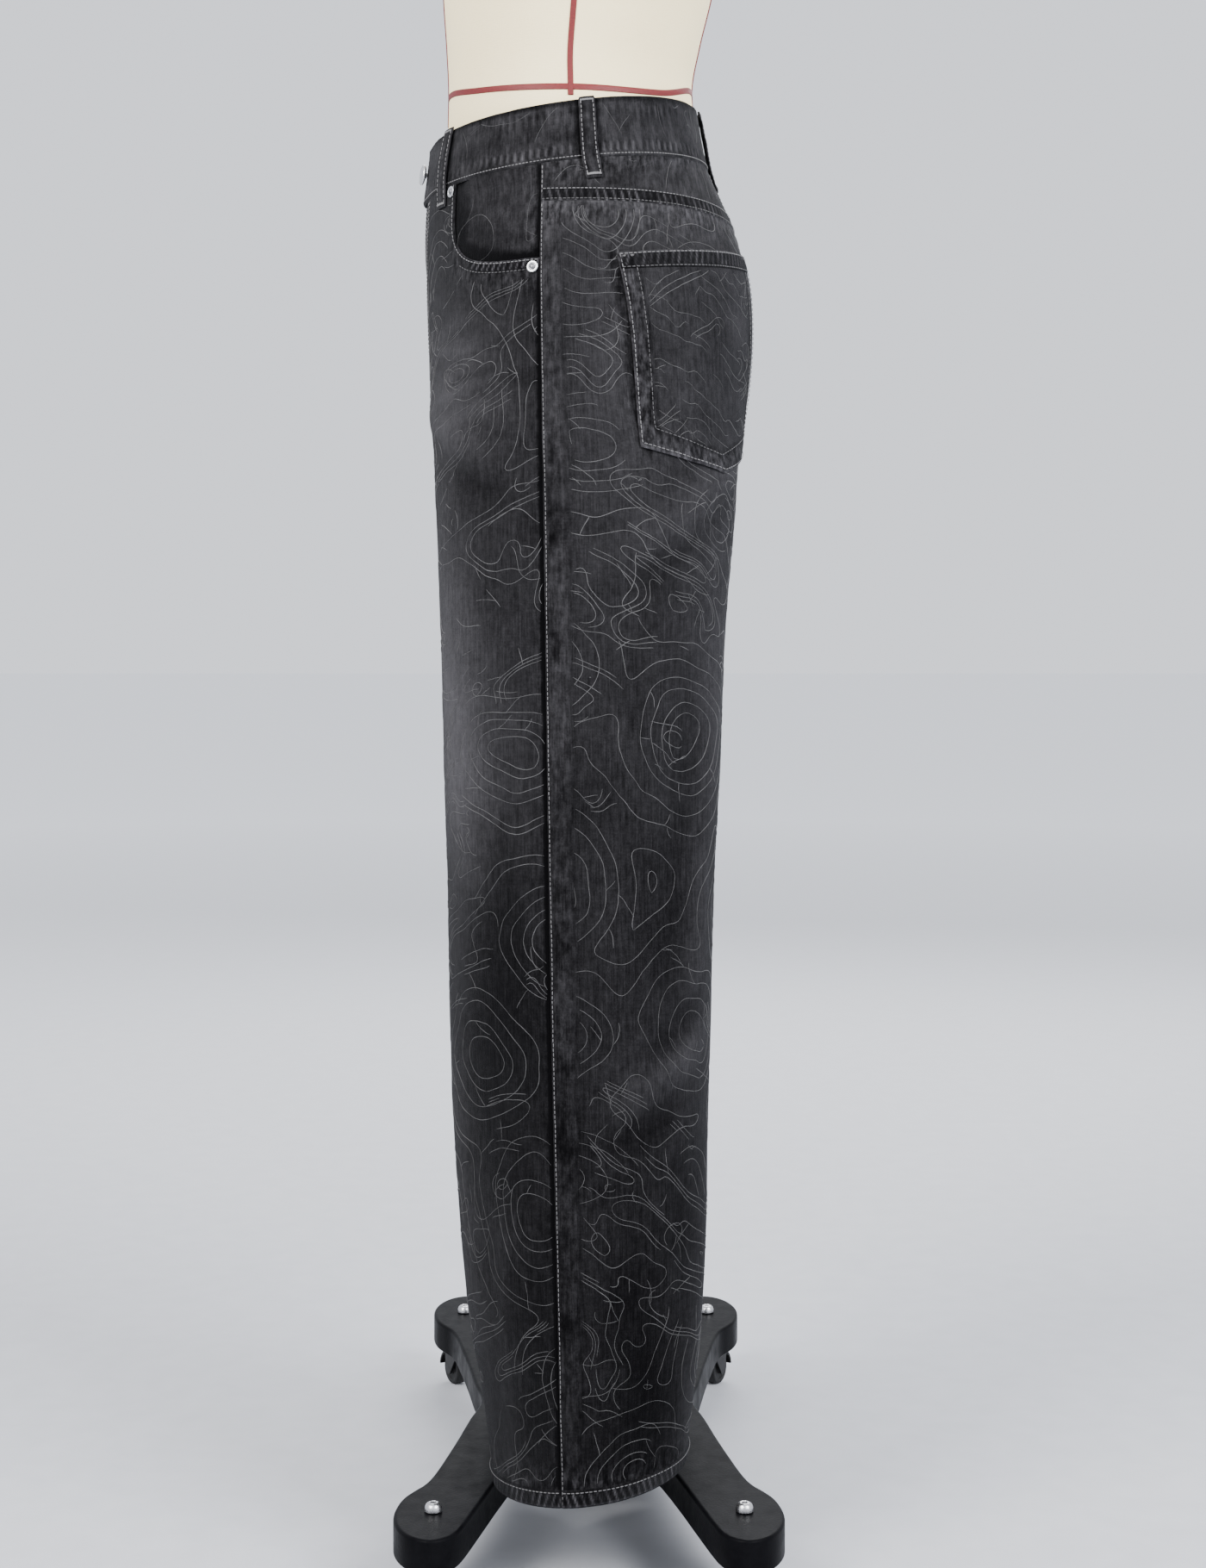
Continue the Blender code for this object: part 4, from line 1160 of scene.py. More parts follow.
def looks():
    denim_look()
    thread_look("thread", (0.095, 0.093, 0.096), (0.170, 0.166, 0.170))
    thread_look("contour", (0.020, 0.0195, 0.0205), (0.092, 0.090, 0.093), 0.8, True)
    thread_look("thread_dim", (0.022, 0.0215, 0.023), (0.075, 0.073, 0.076))
    thread_look("contour_faint", (0.018, 0.0175, 0.019), (0.046, 0.045, 0.047), 0.8)
    metal_look("silver", (0.66, 0.66, 0.67), 0.28)
    metal_look("dark_metal", (0.20, 0.20, 0.21), 0.36)
    metal_look("steel", (0.60, 0.60, 0.61), 0.24)
    canvas_look()
    tape_look()
    paint_look()
    plastic_look()
    plastic_look("tread", (0.010, 0.010, 0.0105), 0.5)


# Flat coordinates of one panel, for strips, stitches and threads
def panel_surface(facing, side):
    """The surface of one panel as a function of flat place and lift."""
    return lambda along, level, out: on_panel(facing, side, along, level, out)


def level_line(facing, level, low=0.0, high=1.0):
    """A flat path round a panel at one level, from the side seam to the centre."""
    return share_line(facing, lambda shares: np.full(len(shares), level), low, high)


def share_line(facing, level_at, low=0.0, high=1.0):
    """A flat path round a panel, at a level for each share of the way to the centre."""
    shares = np.linspace(low, high, 120)
    levels = level_at(shares)
    return flat_path(shares * width_at(facing, levels), levels)


def offset(path, distance):
    """A flat path moved to its left."""
    return path + distance * left_of(unit(np.gradient(path, axis=0)))


def mouth_path():
    """The pocket mouth's edge in flat coordinates, from the side seam to its upper front end."""
    corner = 0.5 ** (1 / MOUTH_POWER)
    flat = np.linspace(0, corner, 80)
    drop = np.linspace(corner, 0, 80)[1:]
    t = np.concatenate([flat, (1 - drop**MOUTH_POWER) ** (1 / MOUTH_POWER)])
    depth = WAIST_LEVEL - SEAM_GAP - MOUTH_SIDE_LEVEL
    height = np.concatenate([(1 - flat**MOUTH_POWER) ** (1 / MOUTH_POWER), drop])
    levels = WAIST_LEVEL - SEAM_GAP - depth * height
    return flat_path(t * MOUTH_SHARE * width_at(1, levels), levels)


def pocket_place(along, level):
    """Metres across from a back pocket's middle and down from its top, for flat points of the panel."""
    arc = along - side_seam_angle(level) * (section("back", level) - section("front", level)) / 2
    down = (POCKET_LEVEL - level) / math.cos(POCKET_TILT)
    return arc - POCKET_ARC - down * math.sin(POCKET_TILT), down


def pocket_half(down):
    """Half the pocket's width at a distance below its top."""
    return (POCKET_TOP_WIDTH + (POCKET_FOOT_WIDTH - POCKET_TOP_WIDTH) * down / POCKET_TIP) / 2


def pocket_shadow(along, level):
    """A painted shadow: the dark line where the pocket's side stands on the panel."""
    across, down = pocket_place(along, level)
    outside = np.abs(across) - pocket_half(down)
    tall = smooth(-0.004, 0.002, down) * (1 - smooth(POCKET_SIDE, POCKET_TIP, down))
    return 0.42 * spot(outside - 0.001, 0.0032) * tall


def wash_and_shade_at(facing, along, level, side):
    """How light a panel is: washed in places, in whiskers at the hip and beside the seams, lighter on fold
    ridges (wear and a painted highlight) and darker in fold troughs (painted shade), with painted shadows
    along the front's side seam and round the back pocket.
    """
    value = 0.08 - 0.24 * (1 - smooth(0.05, 0.95, level))
    for face, centre, at, tall, wide, strength in WASH:
        if face == facing:
            value += strength * spot(level - centre, tall) * spot(along - at, wide)
    seed = 50 + facing
    value += 0.10 * rough_noise(along / 0.05, level / 0.12, seed)
    # Fold ridges lighter, partly wear and partly a painted highlight; fold troughs darker, a painted shade
    value += 75.0 * folds(level, seam_to_seam(level, along / width_at(facing, level), facing), side)
    if facing > 0:
        whisker = noise(along / 0.06 + level * 3, (level + 0.22 * along) / 0.008, seed + 2)
        zone = spot(level - 0.955, 0.055) * spot(along - 0.10, 0.075)
        value += 0.20 * np.clip(whisker, -0.3, 0.8) * zone
        # A little darker from mid-leg up, and a painted shadow in the groove along the side seam
        value -= 0.13 * smooth(0.15, 0.60, level) + 0.60 * (1 - smooth(0.0016, 0.0040, along))
    else:
        strip_share = 1 - smooth(SEAM_STRIP - 0.003, SEAM_STRIP + 0.003, along)
        mottle = rough_noise(along / 0.008, level / 0.009, seed + 4)
        dark = np.clip(noise(0, level / 0.022, seed + 9), 0, 1) * spot(along - 0.006, 0.004)
        value += strip_share * (0.15 * mottle + 0.03) - 0.30 * dark
        value -= 0.06 * spot(along - SEAM_STRIP - 0.002, 0.003)
        value += 0.14 * spot(below_yoke(along, level) - 0.003, 0.004)
        # Painted shadow beside the back pocket's sides
        value -= pocket_shadow(along, level)
    return value


def below_yoke(along, level):
    """How far a flat point of the back panel lies under the yoke seam."""
    return yoke_level(along / width_at(-1, level)) - level


def crumple_at(facing, along, level):
    """Where a panel puckers: above its hem, beside its seams, under the yoke and round the pockets."""
    value = 0.10 + 0.9 * (1 - smooth(0.012, 0.042, level - HEM_LEVEL))
    value += 0.5 * (1 - smooth(0.006, 0.022, width_at(facing, level) - along))
    if facing < 0:
        value += 0.85 * (1 - smooth(0.004, 0.034, below_yoke(along, level)))
        value += 0.35 * (1 - smooth(SEAM_STRIP - 0.003, SEAM_STRIP + 0.004, along))
        across, down = pocket_place(along, level)
        near = spot(np.abs(across) - pocket_half(down), 0.010)
        value += 0.5 * near * smooth(-0.01, 0.0, down) * (1 - smooth(POCKET_SIDE, POCKET_TIP + 0.01, down))
    else:
        under_mouth = mouth_level(along / width_at(1, level)) - level
        value += 0.7 * (1 - smooth(0.012, 0.040, under_mouth)) * (1 - smooth(0.095, 0.120, along))
        value += 0.25 * (1 - smooth(0.0, 0.012, along))
    return np.clip(value, 0, 1.1)


def shell_shares(fine_edge, width):
    """Grid columns, closest beside the side seam."""
    near = np.arange(0, fine_edge, 0.0017)
    far = width - 0.018
    middle = np.linspace(fine_edge, far, int((far - fine_edge) / SHELL_COLUMNS) + 2)
    last = np.linspace(far, width, 7)[1:]
    return np.concatenate([near, middle, last]) / width


def panel_grid(top_path, facing, fine_edge):
    """Flat coordinates of a panel's grid: even rows up to the trunk, then rows that fan out to the top."""
    shares = shell_shares(fine_edge, 0.25)
    hem = np.array([0.0, 0.003, 0.0075, 0.0125, 0.0145, 0.018])
    legs = np.linspace(HEM_LEVEL + 0.0215, TRUNK_LEVEL, int((TRUNK_LEVEL - HEM_LEVEL) / SHELL_ROWS))
    levels = np.concatenate([HEM_LEVEL + hem, legs])
    low = flat_path(shares, levels[:, None])
    run = length_along(top_path)
    at = shares * run[-1]
    top_shares = top_path[:, 0] / width_at(facing, top_path[:, 1])
    top = flat_path(np.interp(at, run, top_shares), np.interp(at, run, top_path[:, 1]))
    rows = np.linspace(0, 1, 32)[1:, None, None]
    high = low[-1][None] + (top - low[-1])[None] * rows
    grid = np.concatenate([low, high])
    grid[..., 0] *= width_at(facing, grid[..., 1])
    return grid


def cloth_panel(name, facing, side, top_path):
    """The shell of a front or back panel, from the hem to the top path."""
    flat = panel_grid(top_path, facing, 0.020 if facing < 0 else 0.007)
    along, level = flat[..., 0], flat[..., 1]
    outer = on_panel(facing, side, along, level, 0.0)
    inner = on_panel(facing, side, along, level, -CLOTH)
    uv = flat_path(along * facing + LEG_APART * side, level)
    wash_and_shade, crumple = wash_and_shade_at(facing, along, level, side), crumple_at(facing, along, level)
    return wall(name, outer, inner, uv=uv, wash_and_shade=wash_and_shade, crumple=crumple)


def front_top():
    """The front panel's top edge in flat points: the pocket's mouth, then the waist seam."""
    level = WAIST_LEVEL - SEAM_GAP
    waist = flat_path(np.linspace(MOUTH_SHARE, 1, 40)[1:] * width_at(1, level), level)
    return np.concatenate([mouth_path(), waist])


def back_top():
    """The back panel's top edge in flat points, a gap below the yoke seam."""
    return share_line(-1, lambda shares: yoke_level(shares) - SEAM_GAP)


def edge_rows(surface, facing, levels, seed, lift=0.0003):
    """Two rows of stitches beside a panel's centre seam or inseam."""
    rows = [flat_path(width_at(facing, levels) - distance, levels) for distance in EDGE_ROWS]
    return [sewn(surface, row, lift, seed) for row in rows]


def fly_rows(surface, seed):
    """The curved double row of the fly and its bartack."""
    rows = []
    turn = np.linspace(0, math.pi / 2, 20)[1:]
    foot = width_at(1, 0.95)
    for distance in FLY_ROWS:
        down = np.linspace(WAIST_LEVEL - 0.004, FLY_TURN_LEVEL, 60)
        line = flat_path(width_at(1, down) - distance, down)
        reach = distance - 0.010
        low = FLY_TURN_LEVEL - 0.75 * reach * np.sin(turn)
        bend = flat_path(foot - distance + reach * (1 - np.cos(turn)), low)
        rows.append(sewn(surface, np.concatenate([line, bend]), 0.0003, seed))
    rows.append(bar_tack(surface, (foot - 0.030, 0.966), (foot - 0.026, 0.957), 0.004))
    return rows


def in_front(line):
    """Where the front panel has contour lines: clear of its edges and its mouth."""
    along, level = line.T
    width = width_at(1, level)
    clear = (along > 0.0012) & (along < width - 0.004) & (level > HEM_LEVEL + 0.014)
    return clear & (level < mouth_level(along / width) - 0.016)


def in_back(line):
    """Where the back panel has contour lines: clear of its edges and the back pocket."""
    along, level = line.T
    width = width_at(-1, level)
    clear = (along > SEAM_STRIP + 0.001) & (along < width - 0.012)
    clear &= (level > HEM_LEVEL + 0.014) & (level < yoke_level(along / width) - 0.004)
    return clear & ~under_pocket(line)


def leg_pieces(side, word):
    """Both panels of one leg with their hems, sewing and contour threads."""
    seed = 100 if side > 0 else 300
    front, back = panel_surface(1, side), panel_surface(-1, side)
    front_panel = cloth_panel(f"denim_front_{word}", 1, side, front_top())
    back_panel = cloth_panel(f"denim_back_{word}", -1, side, back_top())
    dress(front_panel, "denim", f"front_{word}")
    dress(back_panel, "denim", f"back_{word}")

    uv_at = (LEG_APART * side, 0)
    rows, hems = [], []
    for facing, surface, panel_word in ((1, front, "front"), (-1, back, "back")):
        path = level_line(facing, HEM_LEVEL + 0.0004, 0.002, 0.998)
        hem_name = f"hem_{panel_word}_{word}"
        hems.append(
            strip(hem_name, surface, path, HEM_HEIGHT - 0.0002, 0.0006, 0.0064, 0.00035, seed + facing, uv_at)
        )
        rows.append(sewn(surface, level_line(facing, HEM_LEVEL + 0.0112, 0.004, 0.996), 0.0011, seed))
    mouth = mouth_path()
    flat_mouth = mouth[mouth[:, 1] < MOUTH_SIDE_LEVEL + 0.010]
    mouth_band = strip(
        f"mouth_edge_{word}", front, flat_mouth[::-1], 0.0092, 0.0005, 0.0058, 0.0003, seed + 7, uv_at,
        worn=0.2, taper=0.012,
    )
    dim_rows = []
    mouth_rows = ((0.0014, rows, WAIST_LEVEL - 0.001), (0.0090, dim_rows, MOUTH_SIDE_LEVEL + 0.004))
    for distance, chosen, top in mouth_rows:
        line = offset(mouth, -distance)
        line = line[(line[:, 0] > 0.001) & (line[:, 1] < top)]
        chosen.append(sewn(front, line, 0.0008, seed + 2))

    levels = np.linspace(HEM_LEVEL + 0.002, YOKE_SIDE_LEVEL - 0.002, 400)
    side_row = flat_path(0.0012 + 0.0002 * noise(levels / 0.05, 0, seed), levels)
    side_rows = [sewn(back, side_row, 0.0003, seed + 3)]
    side_sewing = stitches(f"sewing_side_{word}", side_rows, radius=SIDE_STITCH_RADIUS)
    rows += edge_rows(back, -1, np.linspace(HEM_LEVEL + 0.002, CROTCH_LEVEL, 300), seed + 4)
    if side > 0:
        for facing, surface, top in ((1, front, WAIST_LEVEL - 0.004), (-1, back, YOKE_BACK_LEVEL - 0.003)):
            rows += edge_rows(surface, facing, np.linspace(CROTCH_LEVEL + 0.010, top, 90), seed + 5)
        rows += fly_rows(front, seed + 6)
    sewing = stitches(f"sewing_{word}", rows)
    dim_sewing = stitches(f"sewing_dim_{word}", dim_rows, "thread_dim")

    front_lines = contour_lines((0, HEM_LEVEL), (0.25, 1.10), seed + 17, in_front)
    back_lines = contour_lines((0, HEM_LEVEL), (0.31, 1.08), seed + 29, in_back)
    front_threads = threads(f"threads_front_{word}", front, front_lines, seed + 31)
    back_threads = threads(f"threads_back_{word}", back, back_lines, seed + 37)


def under_pocket(line):
    """Where flat points of the back panel lie under the back pocket."""
    across, down = pocket_place(line[:, 0], line[:, 1])
    foot = POCKET_TIP + (POCKET_SIDE - POCKET_TIP) * np.clip(np.abs(across) / 0.075, 0, 1)
    return (np.abs(across) < POCKET_TOP_WIDTH / 2 - 0.004) & (down > 0.004) & (down < foot - 0.006)


def yoke(side, word):
    """The wedge between a back panel and the band, with its felled lower seam."""
    seed = 500 + side
    shares = np.linspace(0, 1, 100)[None, :]
    low = yoke_level(shares)
    levels = low + (WAIST_LEVEL - SEAM_GAP - low) * np.linspace(0, 1, 26)[:, None]
    along = shares * width_at(-1, levels)

    def surface(u, v, out):
        u, v, out = together(u, v, out)
        below = 1 - smooth(0.0, 0.014, WAIST_LEVEL - v)
        pucker = 0.00016 * noise((u + 0.4 * v) / 0.0085, v / 0.04, seed) * below
        return on_panel(-1, side, u, v, out + pucker)

    near_band = 1 - smooth(0.004, 0.020, WAIST_LEVEL - levels)
    wash_and_shade = 0.20 * rough_noise(along / 0.016, levels / 0.012, seed + 2) + 0.03
    crumple = 0.45 + 0.55 * near_band
    uv = flat_path(-along + LEG_APART * side, levels + 0.02)
    outer, inner = surface(along, levels, 0.0), surface(along, levels, -CLOTH)
    body = wall(f"denim_yoke_{word}", outer, inner, uv=uv, wash_and_shade=wash_and_shade, crumple=crumple)
    dress(body, "denim", f"yoke_{word}")
    path = share_line(-1, yoke_level, 0.003, 0.998)
    uv_at = (LEG_APART * side, 0.3)
    felled = strip(f"yoke_seam_{word}", surface, path, 0.0108, 0.0005, 0.0069, 0.0003, seed, uv_at, lean=0.35)
    rows = [sewn(surface, offset(path, 0.0096), 0.0008, seed + 3)]
    dim_rows = [sewn(surface, offset(path, 0.0014), 0.0008, seed + 5)]
    dim = stitches(f"sewing_dim_yoke_{word}", dim_rows, "thread_dim")
    if side > 0:
        rise = np.linspace(YOKE_BACK_LEVEL + 0.003, WAIST_LEVEL - 0.003, 30)
        rows += edge_rows(surface, -1, rise, seed + 4, lift=0.0006)
    side_rise = np.linspace(YOKE_SIDE_LEVEL + 0.002, WAIST_LEVEL - 0.002, 20)
    rows.append(sewn(surface, flat_path(0.0012, side_rise), 0.0003, seed + 6))
    sewing = stitches(f"sewing_yoke_{word}", rows)

    def inside(line):
        u, v = line.T
        low_edge = yoke_level(u / width_at(-1, v)) + 0.013
        return (u > 0.004) & (u < 0.24) & (v > low_edge) & (v < WAIST_LEVEL - 0.003)

    lines = contour_lines((0, 1.05), (0.25, 1.115), seed + 9, inside, rings=RING_LEVELS[2::3], fine=-0.1)
    cords = threads(f"threads_yoke_{word}", surface, lines, seed + 11, LOW_THREAD_HEIGHT, "contour_faint")


def facing_depth(level, share):
    """How far in the facing lies: behind the front panel, but flush where it is sewn in at the open mouth."""
    clear = smooth(0.004, 0.016, level - mouth_level(share)) * (1 - smooth(0.38, 0.46, share))
    sewn_in = np.maximum(1 - smooth(0.001, 0.014, WAIST_LEVEL - level), 1 - smooth(0.0, 0.10, share))
    return (-CLOTH - FACING_GAP + 0.0002) * (1 - 0.93 * clear * sewn_in)


def facing_piece(side, word):
    """The denim inside the front pocket's mouth."""
    shares = np.linspace(0, MOUTH_SHARE + FACING_PAST_MOUTH, 50)[None, :]
    levels = np.linspace(FACING_BELOW, WAIST_LEVEL - SEAM_GAP, 44)[:, None] + 0 * shares
    angles = seam_to_seam(levels, shares, 1)
    along = shares * width_at(1, levels)

    def relief(u, v, share):
        return facing_depth(v, share) + FACING_RIPPLE * rough_noise(u / 0.020, v / 0.016, 611 + side)

    out = relief(along, levels, shares)
    uv = flat_path(along + LEG_APART * side, levels + 0.7)
    mouth_height = mouth_level(shares)
    # Painted shade in the recess just under the mouth's edge and towards its front end, deeper low down
    shade = 1 - smooth(0.001, 0.010 + 0.010 * smooth(0.0, 0.45, shares), levels - mouth_height)
    front_recess_shade = 1 - smooth(0.03, 0.13, MOUTH_SHARE - shares)
    low = 1 - smooth(1.060, 1.100, levels)
    wash_and_shade = -0.90 * np.maximum(shade, front_recess_shade * (0.35 + 0.65 * low))
    wash_and_shade += 0.16 * rough_noise(along / 0.03, levels / 0.012, 613)
    # Lighter just inside the side seam, and a painted shadow along the seam itself
    wash_and_shade += 0.12 * spot(along - 0.009, 0.006) - 0.60 * (1 - smooth(0.0014, 0.0038, along))
    crumple = 0.25 + 0.4 * spot(along - 0.007, 0.008)
    outer, inner = point(levels, angles, side, out), point(levels, angles, side, out - CLOTH)
    body = wall(f"denim_facing_{word}", outer, inner, uv=uv, wash_and_shade=wash_and_shade, crumple=crumple)
    dress(body, "denim", f"pocket_facing_{word}")

    def surface(u, v, out):
        u, v, out = together(u, v, out)
        share = u / width_at(1, v)
        return point(v, seam_to_seam(v, share, 1), side, out + relief(u, v, share))

    def inside(line):
        u, v = line.T
        return (u > 0.002) & (u < 0.110) & (v > 1.03) & (v < WAIST_LEVEL - 0.003)

    lines = contour_lines((0, 1.02), (0.12, 1.115), 620 + side, inside, rings=RING_LEVELS[1::3], fine=0.3)
    cords = threads(f"threads_facing_{word}", surface, lines, 640 + side, LOW_THREAD_HEIGHT, "contour_faint")


def back_pocket(side, word):
    """A five-sided patch with a folded top hem, two rows of stitches and its own contour threads."""
    seed = 700 + side
    columns = np.linspace(-1, 1, 61)[None, :]
    rows = np.concatenate([np.linspace(0, 0.12, 10), np.linspace(0.12, 1, 48)[1:]])[:, None]

    def flat_place(u, v):
        """u is metres across from the middle and v is metres down from the top edge."""
        arc = POCKET_ARC + u * math.cos(POCKET_RISE) + v * math.sin(POCKET_TILT)
        return arc, POCKET_LEVEL + u * math.sin(POCKET_RISE) - v * math.cos(POCKET_TILT)

    def surface(u, v, out):
        u, v, out = together(u, v, out)
        arc, level = flat_place(u, v)
        share = np.clip(u / pocket_half(v), -1, 1)
        gape = POCKET_GAPE * (1 - share**2) * (1 - smooth(0.0, 0.3, v / POCKET_TIP))
        edge = np.minimum(pocket_half(v) * (1 - np.abs(share)), v + 0.02)
        ripple = 0.00018 * rough_noise(u / 0.013, v / 0.013, seed) + 0.0003 * (1 - smooth(0.010, 0.016, edge))
        puff = 0.0007 * (1 - share**2) * smooth(0.0, 0.35, v / POCKET_TIP)
        return point(level, angle_at(level, arc), side, out + POCKET_GAP + gape + CLOTH + ripple + puff)

    width = POCKET_TOP_WIDTH + (POCKET_FOOT_WIDTH - POCKET_TOP_WIDTH) * rows
    u = columns * width / 2
    v = rows * (POCKET_TIP + (POCKET_SIDE - POCKET_TIP) * np.abs(columns))
    outer, inner = surface(u, v, 0.0), surface(u, v, -CLOTH)
    uv = flat_path(-u + LEG_APART * side + 0.6, 1.0 - v)
    foot = POCKET_TIP + (POCKET_SIDE - POCKET_TIP) * np.abs(columns)
    from_edge = np.minimum(width / 2 - np.abs(u), foot - v)
    band = 1 - smooth(0.010, 0.014, from_edge)
    wash_and_shade = band * 0.20 * rough_noise(u / 0.0065, v / 0.0065, seed + 1)
    wash_and_shade += 0.20 * (1 - smooth(0.0, 0.0016, from_edge)) - 0.20 * spot(from_edge - 0.014, 0.0025)
    wash_and_shade += 0.16 * rough_noise(u / 0.03, v / 0.03, seed + 2) + 0.09
    crumple = 0.15 + 0.85 * (1 - smooth(0.012, 0.017, np.minimum(from_edge, v + 0.004)))
    body = wall(f"denim_pocket_{word}", outer, inner, uv=uv, wash_and_shade=wash_and_shade, crumple=crumple)
    dress(body, "denim", f"back_pocket_{word}")

    half_top = POCKET_TOP_WIDTH / 2
    top = flat_path(np.linspace(0.0006 - half_top, half_top - 0.0006, 120), 0.0005)
    uv_at = (LEG_APART * side, 0.9)
    hem = strip(f"pocket_hem_{word}", surface, top, 0.0125, 0.0007, 0.0062, 0.00032, seed + 3, uv_at)

    def outline(inset):
        """The pocket's sides and foot, moved inwards, from its upper outer corner round to the other."""
        foot_half = POCKET_FOOT_WIDTH / 2
        slant = (POCKET_TIP - POCKET_SIDE) / foot_half
        tall = POCKET_SIDE - inset
        corners = np.array([
            (inset - half_top, 0.0012),
            (inset - foot_half - 0.0006, tall - 0.001),
            (0.0, POCKET_TIP - inset * math.sqrt(1 + slant**2)),
            (foot_half - inset + 0.0006, tall - 0.001),
            (half_top - inset, 0.0012),
        ])
        line = [np.linspace(a, b, 40, endpoint=False) for a, b in zip(corners, corners[1:])]
        return np.concatenate(line + [corners[-1:]])

    rows_of = [sewn(surface, outline(0.0016), 0.0006, seed + 4)]
    dim_rows = [sewn(surface, outline(0.0125), 0.0003, seed + 5)]
    for down, chosen in ((0.0014, rows_of), (0.0116, dim_rows)):
        line = flat_path(np.linspace(0.001 - half_top, half_top - 0.001, 90), down)
        chosen.append(sewn(surface, line, 0.0009, seed + 6))
    for at in (0.007 - half_top, half_top - 0.007):
        rows_of.append(bar_tack(surface, (at - 0.005, 0.003), (at + 0.005, 0.003), 0.0022, seed))
    sewing = stitches(f"sewing_pocket_{word}", rows_of)
    dim = stitches(f"sewing_dim_pocket_{word}", dim_rows, "thread_dim")

    def inside(line):
        u, v = np.abs(line[:, 0]), line[:, 1]
        foot = POCKET_TIP - (POCKET_TIP - POCKET_SIDE) * u / (POCKET_FOOT_WIDTH / 2) - v
        return (pocket_half(v) - u > 0.015) & (foot > 0.015) & (v > 0.015)

    rng = np.random.default_rng(seed)
    lines = []
    for k, start in enumerate(np.arange(-0.11, 0.17, 0.0115)):
        across = np.arange(-0.08, 0.08, THREAD_STEP)
        drop = start + 0.003 * rng.random() + 0.55 * (across + 0.08)
        drop += 0.006 * noise(across / 0.022, k * 0.35, seed + 6)
        drop += 0.003 * noise(across / 0.008, k, seed + 7)
        line = flat_path(across, drop)
        gone = noise(across / 0.022, 2 * k, seed + 8)
        lines += in_runs(line, inside(line) & (gone > -0.45))
    lines += contour_lines((-0.08, 0), (0.08, 0.17), seed + 9, inside, rings=(), fine=-0.2)
    cords = threads(f"threads_pocket_{word}", surface, lines, seed + 12)


def band_pucker(level, turn):
    """Roping above the waist seam and slight waves along the folded upper edge."""
    radius = section("out", WAIST_LEVEL)
    s = turn * radius
    drift = 0.8 * noise(s / 0.025, 0, 801)
    up = level - WAIST_LEVEL
    window = smooth(0.0015, 0.004, up) * (1 - smooth(0.010, 0.013, up))
    bars = 0.00033 * np.sin(2 * math.pi * (s + 0.15 * up) / PUCKER_PITCH + drift) * window
    top = 0.00022 * noise(s / 0.008, up / 0.012, 802) * smooth(0.028, 0.040, up)
    return bars + top + 0.0002 * rough_noise(s / 0.03, up / 0.02, 803)


def on_band(turn, level, out):
    """A point of the waistband with its lap and puckers, some way out of its face."""
    level, turn, out = together(level, turn, out)
    return point_on_band(level, turn, out + BAND_OUT + lap_lift(turn) + band_pucker(level, turn))


def waistband():
    """The band all round, its left end lapped over its right end."""
    radius = section("out", WAIST_LEVEL)
    first, last = SEAM_GAP / radius - math.pi, math.pi + LAP_LENGTH / radius
    turns = np.linspace(first, last, 560)[None, :]
    tall = TOP_LEVEL - WAIST_LEVEL
    low_rows = (0, 0.0012, 0.003, 0.005, 0.0075, 0.010, 0.0125)
    high_rows = (0.017, 0.022, 0.028, 0.033, 0.038, 0.042, 0.045)
    levels = (WAIST_LEVEL + np.array([*low_rows, *high_rows, tall]))[:, None]
    s = turns * radius
    height = levels - WAIST_LEVEL
    drift = 0.8 * noise(s / 0.025, 0, 801)
    window = smooth(0.0030, 0.0045, height) * (1 - smooth(0.0105, 0.0125, height))
    bars = np.clip(np.sin(2 * math.pi * (s + 0.15 * height) / PUCKER_PITCH + drift), -0.35, 1)
    patchy = np.clip(0.65 + 0.75 * noise(s / 0.030, height / 0.02, 806), 0.1, 1.2)
    wash_and_shade = 0.52 * bars * window * patchy
    upper = smooth(0.026, 0.031, height) * (1 - smooth(0.038, 0.042, height))
    wash_and_shade += 0.20 * np.sin(2 * math.pi * s / 0.0083 + 2 * drift + 1) * upper * patchy**2
    # Random mottle, and a painted shade along the rolled top edge
    wash_and_shade += 0.24 * rough_noise(s / 0.011, height / 0.010, 805) - 0.50 * smooth(0.0435, 0.0460, height) + 0.09
    # Painted shade on the band at both sides of each belt loop
    for _, degrees, _ in LOOPS:
        beside = np.abs(s - math.radians(degrees) * radius) - LOOP_WIDTH / 2
        wash_and_shade -= 0.45 * spot(beside, 0.0045)
    uv = flat_path(s, levels)
    outer, inner = on_band(turns, levels, 0.0), on_band(turns, levels, -BAND_THICK)
    body = wall("denim_waistband", outer, inner, uv=uv, wash_and_shade=wash_and_shade, crumple=0.30, bulge=0.38)
    dress(body, "denim", "waistband")

    def surface(u, v, out):
        return on_band(u / radius, v, out)

    whole = np.linspace(first * radius + 0.003, last * radius - 0.002, 700)
    rows = [sewn(surface, flat_path(whole, WAIST_LEVEL + 0.0016), 0.0003, 810)]
    end_levels = np.linspace(WAIST_LEVEL + 0.002, TOP_LEVEL - 0.002, 20)
    rows.append(sewn(surface, flat_path(last * radius - 0.0018, end_levels), 0.0003, 811))
    sewing = stitches("sewing_waistband", rows)

    def inside(line):
        u, v = line.T
        return (np.abs(u) < 0.36) & (v > WAIST_LEVEL + 0.015) & (v < TOP_LEVEL - 0.004)

    lines = contour_lines((-0.38, 1.11), (0.38, 1.165), 830, inside, rings=RING_LEVELS[3::4], fine=0.35)
    cords = threads("threads_waistband", surface, lines, 840, 0.00022, "contour_faint")


